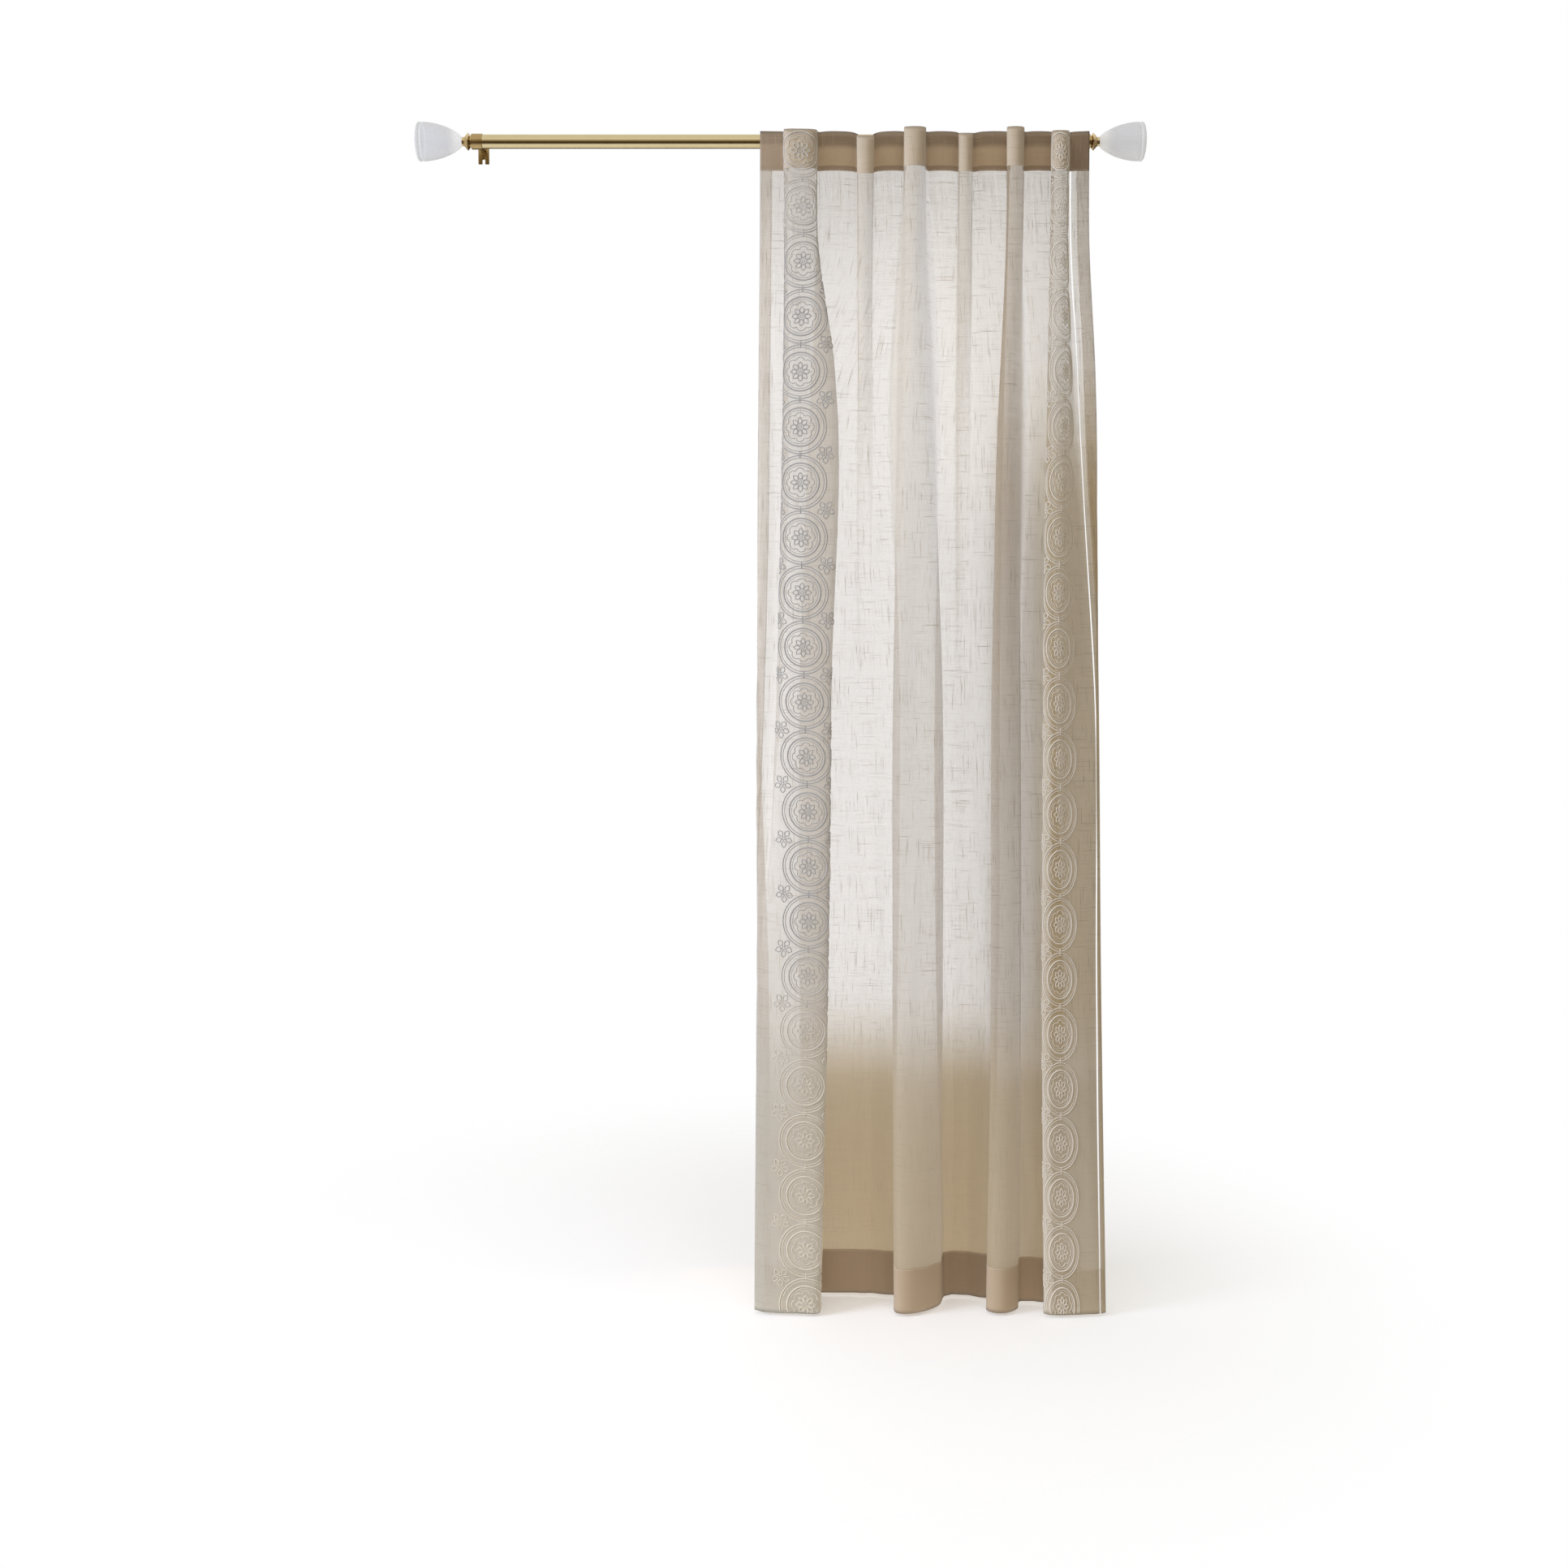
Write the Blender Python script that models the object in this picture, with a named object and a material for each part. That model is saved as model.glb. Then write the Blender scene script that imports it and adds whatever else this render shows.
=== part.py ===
# Curtain panel of slub voile, hung by back tabs on a brass pole with cast finials.
# X runs along the pole, Y points into the wall and Z is up.
# The origin is the middle of the left wall plate's back face.
# Sizes are in millimetres, and MM turns them into Blender's metres.

import math

import bmesh
import bpy
import numpy as np
from mathutils import Matrix, Vector
from mathutils.geometry import interpolate_bezier

MM = 0.001
TOUCH = 0.3

# Pole, with its axis level with the middle of the wall plates
POLE_RADIUS = 12.7
POLE_REACH = 76.0
BRACKET_SPACING = 1100.0
ROUND_SIDES = 36
ROUND_EDGE_ANGLE = 30

# Wall bracket: a ring on the pole, an arm and a wall plate
RING_LENGTH = 20.0
RING_BORE = POLE_RADIUS + TOUCH
RING_RADIUS = 14.1
ARM_RADIUS = 4.5
ARM_SIDES = 24
ARM_IN_RING = 0.9
PLATE_WIDTH = 20.0
PLATE_HEIGHT = 50.0
PLATE_THICK = 3.0
SLOT_WIDTH = 5.0
SLOT_HEIGHT = 9.0
SCREW_HOLE_RADIUS = 2.4
SCREW_HOLE_HEIGHT = 17.0

# Finial: a faceted brass neck and a solid clear bell
NECK_SIDES = 8
NECK_STEPS = ((0.0, 10.8), (1.5, 10.8), (6.0, 16.6), (13.0, 8.6), (17.0, 8.6))  # along, radius
BELL_LENGTH = 84.0
BELL_NECK_RADIUS = 8.0
BELL_MOUTH_RADIUS = 35.0
BELL_BODY = 77.0
BELL_SWELL = 0.75
BELL_STEPS = 11
BELL_EDGE = 2.5
BELL_DOME = 4.5
BELL_DOME_SHARES = (0.7, 0.35, 0.06)

# Panel: cut 2134 mm long, with a turned heading and a turned hem of two layers
PANEL_TOP = 15.0
PANEL_LENGTH = 2134.0
HEADING = 70.0
HEM = 82.0
CLOTH_THICK = 1.6
DOUBLED_THICK = 2.6
RING_CLEARANCE = 0.4
FLAT_Y = -(POLE_REACH + RING_RADIUS + RING_CLEARANCE + DOUBLED_THICK / 2)
ROWS_BETWEEN = 15
ROW_SPREAD = 1.35
HEADING_STEP = 8.0
SAG_REACH = 700.0
SAG_SHARES = (0.2, 0.9, 1.0, 0.9, 0.2)
BEND_HANDLE = 0.36

# Side edges: drop from the top, then (x, depth in front of the flats) of the cut edge and of the
# turn where the side hem rolls behind the front, first for the left side and then for the right
SIDES = (
    (0, (513, 0), (521, 0), (1099, 0), (1107, 0)),
    (190, (512, 1), (519, 0), (1100, 0), (1108, 1)),
    (420, (510, 5), (516, 5), (1114, 5), (1120, 5)),
    (1010, (510, 5), (507, 11), (1122, 57), (1110, 40)),
    (1530, (528, 18), (507, 30), (1128, 74), (1110, 60)),
    (2134, (530, 64), (503, 80), (1139, 94), (1122, 80)),
)

# Forward folds from left to right: the top's sag at the fold, then a row for each drop with
# (x, depth) of the left foot, left crest, middle, right crest and right foot
FOLDS = (
    (8, (
        (0, (563, 0), (557, 48), (583, 54), (610, 46), (621, 0)),
        (190, (560, 0), (559, 46), (586, 54), (612, 46), (618, 0)),
        (420, (564, 0), (557, 40), (594, 53), (646, 48), (606, 0)),
        (1010, (550, 4), (544, 26), (596, 46), (641, 47), (584, 1)),
        (1530, (514, 38), (528, 52), (591, 72), (635, 68), (584, 2)),
        (2134, (509, 86), (524, 94), (577, 99), (621, 94), (597, 2)),
    )),
    (20, (
        (0, (686, 0), (687, 48), (701, 56), (715, 48), (720, 0)),
        (190, (687, 0), (689, 44), (702, 51), (713, 44), (717, 0)),
        (420, (688, 0), (691, 31), (702, 36), (712, 30), (716, 0)),
        (700, (687, 0), (693, 9), (702, 11), (711, 8), (717, 0)),
        (1010, (687, 2), (694, 3), (702, 4), (710, 4), (717, 3)),
    )),
    (7, (
        (0, (777, 0), (770, 60), (787, 69), (805, 60), (815, 0)),
        (190, (764, 0), (771, 66), (786, 75), (801, 64), (825, 0)),
        (420, (749, 0), (769, 70), (788, 79), (809, 68), (839, 0)),
        (1010, (768, 6), (754, 76), (796, 84), (838, 74), (830, 8)),
        (1530, (766, 14), (755, 82), (797, 91), (840, 78), (835, 16)),
        (2134, (765, 18), (758, 93), (788, 100), (836, 66), (852, 20)),
    )),
    (15, (
        (0, (871, 0), (868, 46), (879, 53), (890, 46), (901, 0)),
        (190, (869, 0), (869, 45), (880, 51), (890, 45), (898, 0)),
        (420, (868, 0), (871, 31), (881, 36), (890, 31), (897, 2)),
        (700, (868, 2), (874, 13), (882, 15), (890, 13), (897, 4)),
        (1010, (868, 10), (875, 11), (882, 12), (889, 13), (896, 13)),
    )),
    (7, (
        (0, (962, 0), (952, 60), (966, 69), (980, 60), (992, 0)),
        (190, (958, 0), (952, 66), (965, 75), (978, 65), (991, 0)),
        (420, (955, 0), (942, 73), (955, 82), (969, 70), (1001, 2)),
        (1010, (950, 12), (929, 74), (952, 84), (978, 72), (986, 18)),
        (1530, (950, 25), (930, 78), (955, 88), (983, 76), (990, 32)),
        (2134, (936, 34), (925, 84), (949, 99), (979, 80), (992, 42)),
    )),
    (11, (
        (0, (1043, 0), (1034, 48), (1048, 56), (1062, 48), (1071, 0)),
        (190, (1041, 0), (1032, 52), (1047, 61), (1060, 51), (1071, 0)),
        (420, (1040, 2), (1027, 66), (1043, 75), (1063, 60), (1088, 4)),
        (1010, (1050, 22), (1021, 76), (1040, 90), (1076, 78), (1111, 68)),
        (1530, (1066, 38), (1020, 90), (1034, 99), (1095, 91), (1120, 82)),
        (2134, (1070, 52), (1027, 96), (1040, 107), (1112, 103), (1132, 99)),
    )),
)

# Back tabs, sewn behind the flats of the heading: left and right end of each along the pole
TABS = ((518, 558), (635, 675), (728, 768), (824, 864), (912, 952), (997, 1037), (1074, 1089))
TAB_THICK = 1.2
TAB_FOOT = 58.0
TAB_ARC_STEPS = 12
TAB_EDGE_ANGLE = 40


def clear_scene():
    for thing in list(bpy.data.objects):
        bpy.data.objects.remove(thing, do_unlink=True)


def linear(hex_colour):
    channels = []
    for start in (0, 2, 4):
        value = int(hex_colour[start:start + 2], 16) / 255
        channels.append(value / 12.92 if value <= 0.04045 else ((value + 0.055) / 1.055) ** 2.4)
    return (*channels, 1.0)


def finish(name, colour, roughness, metallic=0.0, transmission=0.0):
    material = bpy.data.materials.new(name)
    material.use_nodes = True
    shader = material.node_tree.nodes["Principled BSDF"]
    shader.inputs["Base Color"].default_value = linear(colour)
    shader.inputs["Roughness"].default_value = roughness
    shader.inputs["Metallic"].default_value = metallic
    shader.inputs["Transmission Weight"].default_value = transmission
    return material


def add_object(name, bm, material, smooth_angle=None):
    mesh = bpy.data.meshes.new(name)
    bmesh.ops.recalc_face_normals(bm, faces=bm.faces)
    bm.to_mesh(mesh)
    bm.free()
    mesh.materials.append(material)
    if smooth_angle is not None:
        mesh.shade_smooth()
        mesh.set_sharp_from_angle(angle=math.radians(smooth_angle))
    thing = bpy.data.objects.new(name, mesh)
    bpy.context.scene.collection.objects.link(thing)
    return thing


def eased_row(rows, drop):
    """The (x, depth) pairs of a table at one drop, eased between its rows."""
    drops = np.array([row[0] for row in rows], float)
    values = np.array([row[1:] for row in rows], float)
    slopes = np.gradient(values, drops, axis=0)
    drop = min(max(drop, drops[0]), drops[-1])
    below = max(1, int(np.searchsorted(drops, drop)))
    span = drops[below] - drops[below - 1]
    t = (drop - drops[below - 1]) / span
    upper = values[below - 1] * (2 * t**3 - 3 * t**2 + 1)
    upper += slopes[below - 1] * span * (t**3 - 2 * t**2 + t)
    lower = values[below] * (3 * t**2 - 2 * t**3)
    lower += slopes[below] * span * (t**3 - t**2)
    return upper + lower


def plan_points(drop):
    """Control points (x, depth, sag) across the panel at one drop, each with its curve steps."""
    sides = eased_row(SIDES, drop)
    points = [(Vector((*sides[0], 0)), 1), (Vector((*sides[1], 0)), 2)]
    for number, (sag, rows) in enumerate(FOLDS):
        places = eased_row(rows, drop)
        fold = [Vector((*place, sag * share)) for place, share in zip(places, SAG_SHARES)]
        if number:
            flat = (points[-1][0] + fold[0]) / 2
            points.append((Vector((flat.x, flat.y, 0)), 2))
        points += zip(fold, (3, 3, 3, 3, 2))
    points += [(Vector((*sides[2], 0)), 1), (Vector((*sides[3], 0)), 0)]
    return points


def plan_curve(drop):
    """The panel's plan at one drop as (x, depth, sag), rounded where the cloth turns."""
    points = plan_points(drop)
    places = [place for place, steps in points]
    last = len(places) - 1
    curve = []
    for i in range(last):
        start, end = places[i], places[i + 1]
        reach = (end - start).length * BEND_HANDLE
        leaving = (end - places[max(i - 1, 0)]).normalized() * reach
        arriving = (places[min(i + 2, last)] - start).normalized() * reach
        bend = interpolate_bezier(start, start + leaving, end - arriving, end, points[i][1] + 1)
        rearmost = min(start.y, end.y)
        curve += [Vector((p.x, max(p.y, rearmost), p.z)) for p in bend[:-1]]
    return curve + [places[-1]]


def panel_drops():
    """Drops of the panel's rows: the heading, a spread that widens downwards, and the hem."""
    hang = PANEL_LENGTH - HEM - HEADING
    between = [HEADING + hang * (k / ROWS_BETWEEN) ** ROW_SPREAD for k in range(1, ROWS_BETWEEN + 1)]
    heading = [0, HEADING / 2, HEADING, HEADING + HEADING_STEP]
    return [*heading, *between, PANEL_LENGTH - HEM / 2, PANEL_LENGTH]


def make_panel(material):
    bm = bmesh.new()
    grid = []
    for drop in panel_drops():
        hold = max(0.0, 1 - drop / SAG_REACH) ** 2
        row = []
        for x, depth, sag in plan_curve(drop):
            height = PANEL_TOP - drop - sag * hold
            row.append(bm.verts.new(Vector((x, FLAT_Y - depth, height)) * MM))
        grid.append(row)
    for upper, lower in zip(grid, grid[1:]):
        for i in range(len(upper) - 1):
            bm.faces.new((upper[i], lower[i], lower[i + 1], upper[i + 1]))
    mesh = bpy.data.meshes.new("panel")
    bm.to_mesh(mesh)
    bm.free()
    mesh.materials.append(material)
    mesh.shade_smooth()
    panel = bpy.data.objects.new("panel", mesh)
    bpy.context.scene.collection.objects.link(panel)
    doubled = panel.vertex_groups.new(name="doubled")
    columns = len(grid[0])
    for number, drop in enumerate(panel_drops()):
        if drop <= HEADING or drop > PANEL_LENGTH - HEM:
            first = number * columns
            doubled.add(list(range(first, first + columns)), 1.0, "REPLACE")
    thicken = panel.modifiers.new("Cloth thickness", "SOLIDIFY")
    thicken.thickness = DOUBLED_THICK * MM
    thicken.offset = 0
    thicken.vertex_group = doubled.name
    thicken.thickness_vertex_group = CLOTH_THICK / DOUBLED_THICK
    return panel


def tab_path():
    """Centre line of a tab as (y, z) from the pole's axis: over the pole, down and forward."""
    radius = POLE_RADIUS + TOUCH + TAB_THICK / 2
    front = FLAT_Y + DOUBLED_THICK / 2 + TOUCH + POLE_REACH
    foot = Vector((front, PANEL_TOP - TAB_FOOT))
    over_the_top = math.pi / 2
    leaves_pole = math.atan2(foot.y, foot.x) + math.acos(radius / foot.length)
    path = [Vector((front, radius))]
    for k in range(TAB_ARC_STEPS + 1):
        angle = over_the_top + (leaves_pole - over_the_top) * k / TAB_ARC_STEPS
        path.append(Vector((math.cos(angle), math.sin(angle))) * radius)
    return path + [foot]


def make_tab(name, left, right, material):
    path = tab_path()
    last = len(path) - 1
    outer, inner = [], []
    for i, point in enumerate(path):
        along = (path[min(i + 1, last)] - path[max(i - 1, 0)]).normalized()
        across = Vector((-along.y, along.x)) * TAB_THICK / 2
        outer.append(point - across)
        inner.append(point + across)
    outer[0].x = inner[0].x = path[0].x
    outer[-1].x = inner[-1].x = path[-1].x
    bm = bmesh.new()
    ends = []
    for x in (left, right):
        ends.append([
            [bm.verts.new(Vector((x, p.x - POLE_REACH, p.y)) * MM) for p in side]
            for side in (outer, inner)
        ])
    (a_out, a_in), (b_out, b_in) = ends
    for i in range(last):
        bm.faces.new((a_out[i], a_out[i + 1], b_out[i + 1], b_out[i]))
        bm.faces.new((a_in[i], b_in[i], b_in[i + 1], a_in[i + 1]))
        bm.faces.new((a_out[i], a_in[i], a_in[i + 1], a_out[i + 1]))
        bm.faces.new((b_out[i], b_out[i + 1], b_in[i + 1], b_in[i]))
    for i in (0, last):
        bm.faces.new((a_out[i], b_out[i], b_in[i], a_in[i]))
    return add_object(name, bm, material, TAB_EDGE_ANGLE)


def turned(name, steps, sides, material, smooth_angle=None):
    """A solid turned about the X axis from (x, radius) steps, with flat ends."""
    bm = bmesh.new()
    loops = []
    for x, radius in steps:
        circle = bmesh.ops.create_circle(bm, segments=sides, radius=radius * MM)["verts"]
        place = Matrix.Translation((x * MM, 0, 0)) @ Matrix.Rotation(math.pi / 2, 4, "Y")
        bmesh.ops.transform(bm, matrix=place, verts=circle)
        loops.append(circle)
    for here, there in zip(loops, loops[1:]):
        for i in range(sides):
            j = (i + 1) % sides
            bm.faces.new((here[i], here[j], there[j], there[i]))
    bm.faces.new(loops[0])
    bm.faces.new(loops[-1])
    return add_object(name, bm, material, smooth_angle)


def cutter(thing):
    thing.hide_render = True
    thing.display_type = "WIRE"
    return thing


def boolean(thing, other, operation):
    step = thing.modifiers.new(f"{operation} {other.name}", "BOOLEAN")
    step.operation = operation
    step.object = cutter(other)
    step.solver = "EXACT"


def block(name, size, place, material):
    bm = bmesh.new()
    bmesh.ops.create_cube(bm, size=1.0)
    bmesh.ops.scale(bm, vec=Vector(size) * MM, verts=bm.verts)
    bmesh.ops.translate(bm, vec=Vector(place) * MM, verts=bm.verts)
    return add_object(name, bm, material)


def pin(name, radius, near, far, x, z, material):
    """A round bar along Y between two places."""
    bar = turned(name, ((near, radius), (far, radius)), ARM_SIDES, material)
    bar.data.transform(Matrix.Rotation(math.pi / 2, 4, "Z"))
    bar.data.transform(Matrix.Translation(Vector((x, 0, z)) * MM))
    return bar


def make_bracket(name, x, material):
    half = RING_LENGTH / 2
    ring_ends = ((-half, RING_RADIUS), (half, RING_RADIUS))
    ring = turned(name, ring_ends, ROUND_SIDES, material, ROUND_EDGE_ANGLE)
    ring.data.transform(Matrix.Translation(Vector((x, -POLE_REACH, 0)) * MM))
    arm_start = RING_RADIUS - ARM_IN_RING - POLE_REACH
    arm = pin(f"{name}_arm", ARM_RADIUS, arm_start, -PLATE_THICK / 2, x, 0, material)
    plate_size = (PLATE_WIDTH, PLATE_THICK, PLATE_HEIGHT)
    plate = block(f"{name}_plate", plate_size, (x, -PLATE_THICK / 2, 0), material)
    bore_ends = ((-RING_LENGTH, RING_BORE), (RING_LENGTH, RING_BORE))
    bore = turned(f"{name}_bore", bore_ends, ROUND_SIDES, material)
    bore.data.transform(Matrix.Translation(Vector((x, -POLE_REACH, 0)) * MM))
    slot_size = (SLOT_WIDTH, PLATE_THICK * 3, SLOT_HEIGHT * 2)
    slot = block(f"{name}_slot", slot_size, (x, -PLATE_THICK / 2, -PLATE_HEIGHT / 2), material)
    through = (-PLATE_THICK * 2, PLATE_THICK)
    hole = pin(f"{name}_hole", SCREW_HOLE_RADIUS, *through, x, SCREW_HOLE_HEIGHT, material)
    boolean(ring, bore, "DIFFERENCE")
    boolean(ring, arm, "UNION")
    boolean(ring, plate, "UNION")
    boolean(ring, slot, "DIFFERENCE")
    boolean(ring, hole, "DIFFERENCE")
    return ring


def bell_steps():
    """Radius of the clear bell along its length, with a broken edge and a domed end."""
    steps = []
    for k in range(BELL_STEPS + 1):
        t = k / BELL_STEPS
        swell = math.sin(math.pi / 2 * t**BELL_SWELL)
        radius = BELL_NECK_RADIUS + (BELL_MOUTH_RADIUS - BELL_NECK_RADIUS) * swell
        steps.append((BELL_BODY * t, radius))
    face = BELL_LENGTH - BELL_DOME
    face_radius = BELL_MOUTH_RADIUS - BELL_EDGE
    steps.append((face, face_radius))
    for share in BELL_DOME_SHARES:
        steps.append((face + BELL_DOME * (1 - share**2), face_radius * share))
    return steps


def make_finial(side, pole_end, facing, brass, clear):
    """A neck and a bell past one end of the pole; facing is -1 on the left and 1 on the right."""
    neck_steps = [(pole_end + facing * (TOUCH + x), radius) for x, radius in NECK_STEPS]
    bell_start = pole_end + facing * (2 * TOUCH + NECK_STEPS[-1][0])
    bell = [(bell_start + facing * x, radius) for x, radius in bell_steps()]
    for thing in (
        turned(f"finial_neck_{side}", neck_steps, NECK_SIDES, brass),
        turned(f"finial_{side}", bell, ROUND_SIDES, clear, ROUND_EDGE_ANGLE),
    ):
        thing.data.transform(Matrix.Translation((0, -POLE_REACH * MM, 0)))


def build():
    clear_scene()
    voile = finish("voile", "CFC7BC", 0.85)
    brass = finish("brass", "B5935A", 0.25, metallic=1.0)
    clear = finish("clear acrylic", "F2F3F5", 0.05, transmission=1.0)
    make_panel(voile)
    for number, (left, right) in enumerate(TABS, start=1):
        make_tab(f"tab_{number}", left, right, voile)
    pole_left = -RING_LENGTH / 2
    pole_right = BRACKET_SPACING + RING_LENGTH / 2
    ends = ((pole_left, POLE_RADIUS), (pole_right, POLE_RADIUS))
    pole = turned("rod", ends, ROUND_SIDES, brass, ROUND_EDGE_ANGLE)
    pole.data.transform(Matrix.Translation((0, -POLE_REACH * MM, 0)))
    make_bracket("bracket_left", 0.0, brass)
    make_bracket("bracket_right", BRACKET_SPACING, brass)
    make_finial("left", pole_left, -1, brass, clear)
    make_finial("right", pole_right, 1, brass, clear)


build()
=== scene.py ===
# Sheer slub voile curtain panel, hung by back tabs from a brass pole with clear cast finials.
# X runs along the pole, Y points to the back and Z is up, in metres. Sizes written in millimetres
# are turned into metres by MM.

import math

import bmesh
import bpy
import numpy as np
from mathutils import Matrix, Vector
from mathutils.geometry import interpolate_bezier


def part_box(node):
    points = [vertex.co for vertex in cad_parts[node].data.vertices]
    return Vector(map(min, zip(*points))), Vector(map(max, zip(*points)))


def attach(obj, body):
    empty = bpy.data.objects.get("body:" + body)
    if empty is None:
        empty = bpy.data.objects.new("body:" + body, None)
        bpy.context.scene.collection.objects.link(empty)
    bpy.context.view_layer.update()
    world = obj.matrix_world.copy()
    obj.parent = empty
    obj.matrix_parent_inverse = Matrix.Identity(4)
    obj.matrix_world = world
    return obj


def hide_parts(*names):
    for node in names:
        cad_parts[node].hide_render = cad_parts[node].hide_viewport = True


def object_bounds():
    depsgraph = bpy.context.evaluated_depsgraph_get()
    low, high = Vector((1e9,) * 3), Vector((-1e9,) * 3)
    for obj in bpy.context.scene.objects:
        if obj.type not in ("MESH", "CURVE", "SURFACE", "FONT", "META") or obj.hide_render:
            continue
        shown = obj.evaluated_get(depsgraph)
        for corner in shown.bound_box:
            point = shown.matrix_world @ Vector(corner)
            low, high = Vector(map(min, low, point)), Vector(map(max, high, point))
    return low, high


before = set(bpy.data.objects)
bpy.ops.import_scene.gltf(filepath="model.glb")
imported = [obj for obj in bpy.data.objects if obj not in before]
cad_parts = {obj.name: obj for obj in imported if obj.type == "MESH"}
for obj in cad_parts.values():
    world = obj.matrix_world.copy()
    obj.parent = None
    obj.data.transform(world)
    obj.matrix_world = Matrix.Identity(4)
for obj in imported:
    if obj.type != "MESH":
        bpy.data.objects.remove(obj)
cad_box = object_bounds()
scene = bpy.context.scene


# The camera stands 3.4 m in front of the panel, level with its upper third, and looks down by three
# degrees. Its lens is shifted a little so that the whole drop fits the square picture.
PICTURE_PIXELS = 1932
FOCAL_PIXELS = 2308
LENS_MIDDLE_ROW = 821
LOOKS_DOWN = 3.0
camera = bpy.data.objects.new("camera", bpy.data.cameras.new("camera"))
camera.data.sensor_width = 36.0
camera.data.lens = camera.data.sensor_width * FOCAL_PIXELS / PICTURE_PIXELS
camera.data.shift_y = (LENS_MIDDLE_ROW - PICTURE_PIXELS / 2) / PICTURE_PIXELS
camera.location = (0.556, -3.516, -0.772)
camera.rotation_euler = (math.radians(90 - LOOKS_DOWN), 0, 0)
scene.collection.objects.link(camera)
scene.camera = camera


# The pole is a 25 mm steel tube, plated with brass and lacquered. It rests in the two bracket rings,
# and the back tabs of the panel hang over it.
MM = 0.001
POLE_SIDES = 96
POLE_EDGE = 0.8 * MM
pole_low, pole_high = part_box("rod")
pole_middle = (pole_low + pole_high) / 2
pole_radius = (pole_high.z - pole_low.z) / 2


def linear(hex_colour):
    """A linear colour from its sRGB hex value."""
    channels = []
    for start in (0, 2, 4):
        value = int(hex_colour[start:start + 2], 16) / 255
        channels.append(value / 12.92 if value <= 0.04045 else ((value + 0.055) / 1.055) ** 2.4)
    return (*channels, 1.0)


def add(tree, kind, inputs=None, **settings):
    """Adds one shader node. An input takes a value, a socket, or a node's first output in use."""
    made = tree.nodes.new(kind)
    for key, value in settings.items():
        setattr(made, key, value)
    for key, value in (inputs or {}).items():
        named = [socket for socket in made.inputs if socket.enabled and socket.name == key]
        target = named[0] if named else made.inputs[key]
        if isinstance(value, bpy.types.Node):
            value = next(socket for socket in value.outputs if socket.enabled)
        if isinstance(value, bpy.types.NodeSocket):
            tree.links.new(value, target)
        else:
            target.default_value = value
    return made


def new_material(name):
    material = bpy.data.materials.new(name)
    material.use_nodes = True
    material.node_tree.nodes.clear()
    return material, material.node_tree


def ride_as(name, mesh, material, nodes=()):
    """Puts a mesh in the scene as a piece on the part, in place of its plain nodes."""
    mesh.materials.append(material)
    thing = bpy.data.objects.new(name, mesh)
    scene.collection.objects.link(thing)
    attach(thing, "root")
    if nodes:
        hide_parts(*nodes)
    return thing


def place_piece(name, bm, material, nodes, sharp_over=30):
    """Finishes a hard piece, smooth but for its sharp edges, and puts it in the scene."""
    mesh = bpy.data.meshes.new(name)
    bmesh.ops.recalc_face_normals(bm, faces=bm.faces)
    bm.to_mesh(mesh)
    bm.free()
    mesh.shade_smooth()
    mesh.set_sharp_from_angle(angle=math.radians(sharp_over))
    ride_as(name, mesh, material, nodes)


def turned(profile, sides, closed=False):
    """A mesh turned about the pole's axis from (x, radius) steps."""
    bm = bmesh.new()
    verts = [bm.verts.new((x, pole_middle.y, pole_middle.z + radius)) for x, radius in profile]
    pairs = list(zip(verts, verts[1:] + verts[:1] if closed else verts[1:]))
    edges = [bm.edges.new(pair) for pair in pairs]
    bmesh.ops.spin(
        bm, geom=verts + edges, cent=pole_middle, axis=(1, 0, 0),
        angle=2 * math.pi, steps=sides, use_merge=True,
    )
    bmesh.ops.remove_doubles(bm, verts=bm.verts, dist=1e-7)
    return bm


# Brass plate on a drawn tube, lacquered: warm and fairly bright, with faint lines along its length
# that stretch the highlights. The real lines are 0.2 mm apart and are drawn at 1.5 mm so they show.
brass_drawn, tree = new_material("lacquered_drawn_brass")
DRAWN_LINES_PER_M = 1 / (1.5 * MM)
place = add(tree, "ShaderNodeTexCoord").outputs["Object"]
along_pole = add(tree, "ShaderNodeMapping", {
    "Vector": place, "Scale": (6.0, DRAWN_LINES_PER_M, DRAWN_LINES_PER_M),
})
lines = add(tree, "ShaderNodeTexNoise", {"Vector": along_pole, "Scale": 1.0, "Detail": 3.0})
wear = add(tree, "ShaderNodeTexNoise", {"Vector": place, "Scale": 22.0, "Detail": 4.0})
tone = add(tree, "ShaderNodeMix", {
    "Factor": wear, "A": linear("D2BF92"), "B": linear("DBC99E"),
}, data_type="RGBA")
gloss = add(tree, "ShaderNodeMapRange", {"Value": lines, "To Min": 0.15, "To Max": 0.21})
brass = add(tree, "ShaderNodeBsdfPrincipled", {
    "Base Color": tone, "Metallic": 1.0, "Roughness": gloss,
    "Coat Weight": 0.2, "Coat Roughness": 0.15,
})
add(tree, "ShaderNodeOutputMaterial", {"Surface": brass})

place_piece("pole_tube", turned((
    (pole_low.x, 0),
    (pole_low.x, pole_radius - POLE_EDGE),
    (pole_low.x + POLE_EDGE, pole_radius),
    (pole_high.x - POLE_EDGE, pole_radius),
    (pole_high.x, pole_radius - POLE_EDGE),
    (pole_high.x, 0),
), POLE_SIDES), brass_drawn, ["rod"])


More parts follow.
